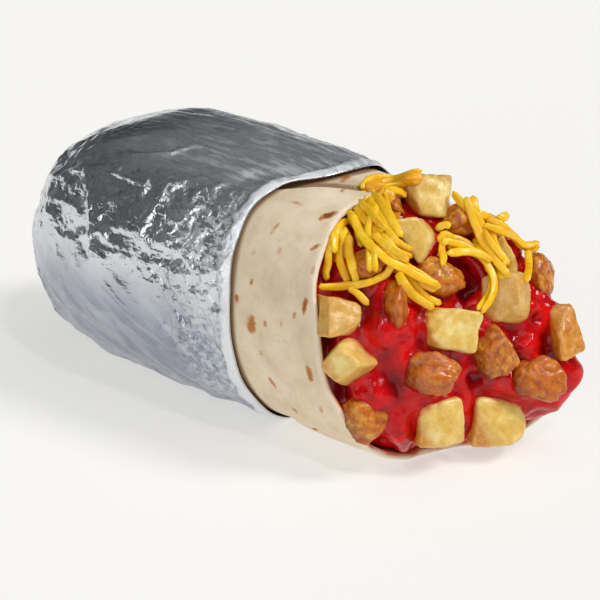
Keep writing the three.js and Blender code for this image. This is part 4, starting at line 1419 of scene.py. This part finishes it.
def floor_and_light():
    scene = bpy.context.scene
    mesh = bpy.data.meshes.new("floor")
    corners = [(x * FLOOR_HALF, y * FLOOR_HALF, 0) for x, y in ((-1, -1), (1, -1), (1, 1), (-1, 1))]
    mesh.from_pydata(corners, [], [(0, 1, 2, 3)])
    floor = bpy.data.objects.new("floor", mesh)
    floor.location.z = -FLOOR_GAP * MM
    scene.collection.objects.link(floor)
    look = Look("floor")
    pale = look.ramp(look.noise(400, 1), ((0.0, (177, 176, 174)), (1.0, (179, 178, 176))))
    look.link(pale, "Base Color")
    look.link(pale, "Emission Color")
    look.set(Emission_Strength=1.2, Roughness=0.9, Specular_IOR_Level=0.0)
    mesh.materials.append(look.material)

    add_sun("key", (0.8, 0.45, 0.95), 1.75, 18, (1.0, 1.0, 0.98))
    add_sun("top", (0.1, 0.1, 1.0), 0.3, 50, (1.0, 1.0, 1.0))
    add_sun("front", (0.3, -1.0, 0.5), 0.85, 50, (1.0, 0.99, 0.97))
    add_sun("spark", (0.95, -0.35, 1.5), 0.4, 4, (1.0, 1.0, 1.0))

    # The sky is brighter low down and overhead, with soft patches for the foil to mirror
    world = bpy.data.worlds.new("studio")
    scene.world = world
    world.use_nodes = True
    tree = world.node_tree
    direction = add_node(tree, "TexCoord", {}).outputs["Generated"]
    height = add_node(tree, "SeparateXYZ", {"Vector": direction}).outputs["Z"]
    stops = ((0.0, 0.3), (0.04, 0.13), (0.25, 0.095), (0.5, 0.1), (0.8, 0.135), (1.0, 0.31))
    stops = [(at, (value * 0.95, value * 1.0, value * 1.03)) for at, value in stops]
    glow = add_ramp(tree, height, stops)
    cloud = add_node(tree, "TexNoise", {"Vector": direction, "Scale": 2.6, "Detail": 2.0}).outputs["Fac"]
    inputs = {"Value": cloud, "From Min": 0.36, "From Max": 0.68, "To Min": 0.35, "To Max": 2.0}
    patches = add_node(tree, "MapRange", inputs).outputs["Result"]
    lit = add_node(tree, "VectorMath", {0: glow, "Scale": patches}, operation="SCALE").outputs["Vector"]
    background = tree.nodes["Background"].inputs
    tree.links.new(lit, background["Color"])
    background["Strength"].default_value = 1.0
    scene.view_settings.view_transform = "Standard"
    scene.view_settings.look = "None"


# The photo's view: degrees round and up, metres away, the point looked at, lens and sensor
VIEW_ROUND, VIEW_UP, VIEW_AWAY = 42, 23, 0.8
VIEW_TARGET = (5.2 * MM, -0.1 * MM, 30 * MM)
LENS, SENSOR = 168, 36


def camera():
    azimuth, elevation = math.radians(VIEW_ROUND), math.radians(VIEW_UP)
    back = Vector((
        math.sin(azimuth) * math.cos(elevation),
        -math.cos(azimuth) * math.cos(elevation),
        math.sin(elevation),
    ))
    data = bpy.data.cameras.new("camera")
    data.lens, data.sensor_width = LENS, SENSOR
    obj = bpy.data.objects.new("camera", data)
    obj.location = Vector(VIEW_TARGET) + back * VIEW_AWAY
    obj.rotation_mode = "QUATERNION"
    obj.rotation_quaternion = back.to_track_quat("Z", "Y")
    bpy.context.scene.collection.objects.link(obj)
    bpy.context.scene.camera = obj


for item in list(bpy.data.objects):
    bpy.data.objects.remove(item)
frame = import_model()

camera()
floor_and_light()


settle(foil_piece(), foil_look(), "foil", "foil_wrap")
tortilla, sheet_part = tortilla_piece()
settle(tortilla, tortilla_look(), "tortilla", "tortilla")
chunks = chunk_pieces("potato", POTATOES, die_shape, potato_look())
chunks += chunk_pieces("sausage", SAUSAGES, crumble_shape, sausage_look())
sauce, sauce_parts = sauce_piece(chunks)
settle(sauce, sauce_look(), "sauce", "filling")
add_depth(chunks, tree_of(sauce_parts))
ground = tree_of(sauce_parts + [(points, faces) for _, points, faces in chunks] + [sheet_part])
cheese = cheese_look()
for side, ways, picks, shift, melts, seed in (
    ("left", LEFT_STRANDS, (1, 2, 3, 6, 7, 8, 9, 11, 22), 2.3, LEFT_MELTS, 41),
    ("right", RIGHT_STRANDS, (1, 4, 6, 9, 12), 2.0, RIGHT_MELTS, 43),
):
    ways += beside(ways, picks, shift)
    shreds = cheese_piece(f"cheese_shreds_{side}", ways, melts, ground, seed)
    settle(shreds, cheese, "cheese", f"cheese_{side}")
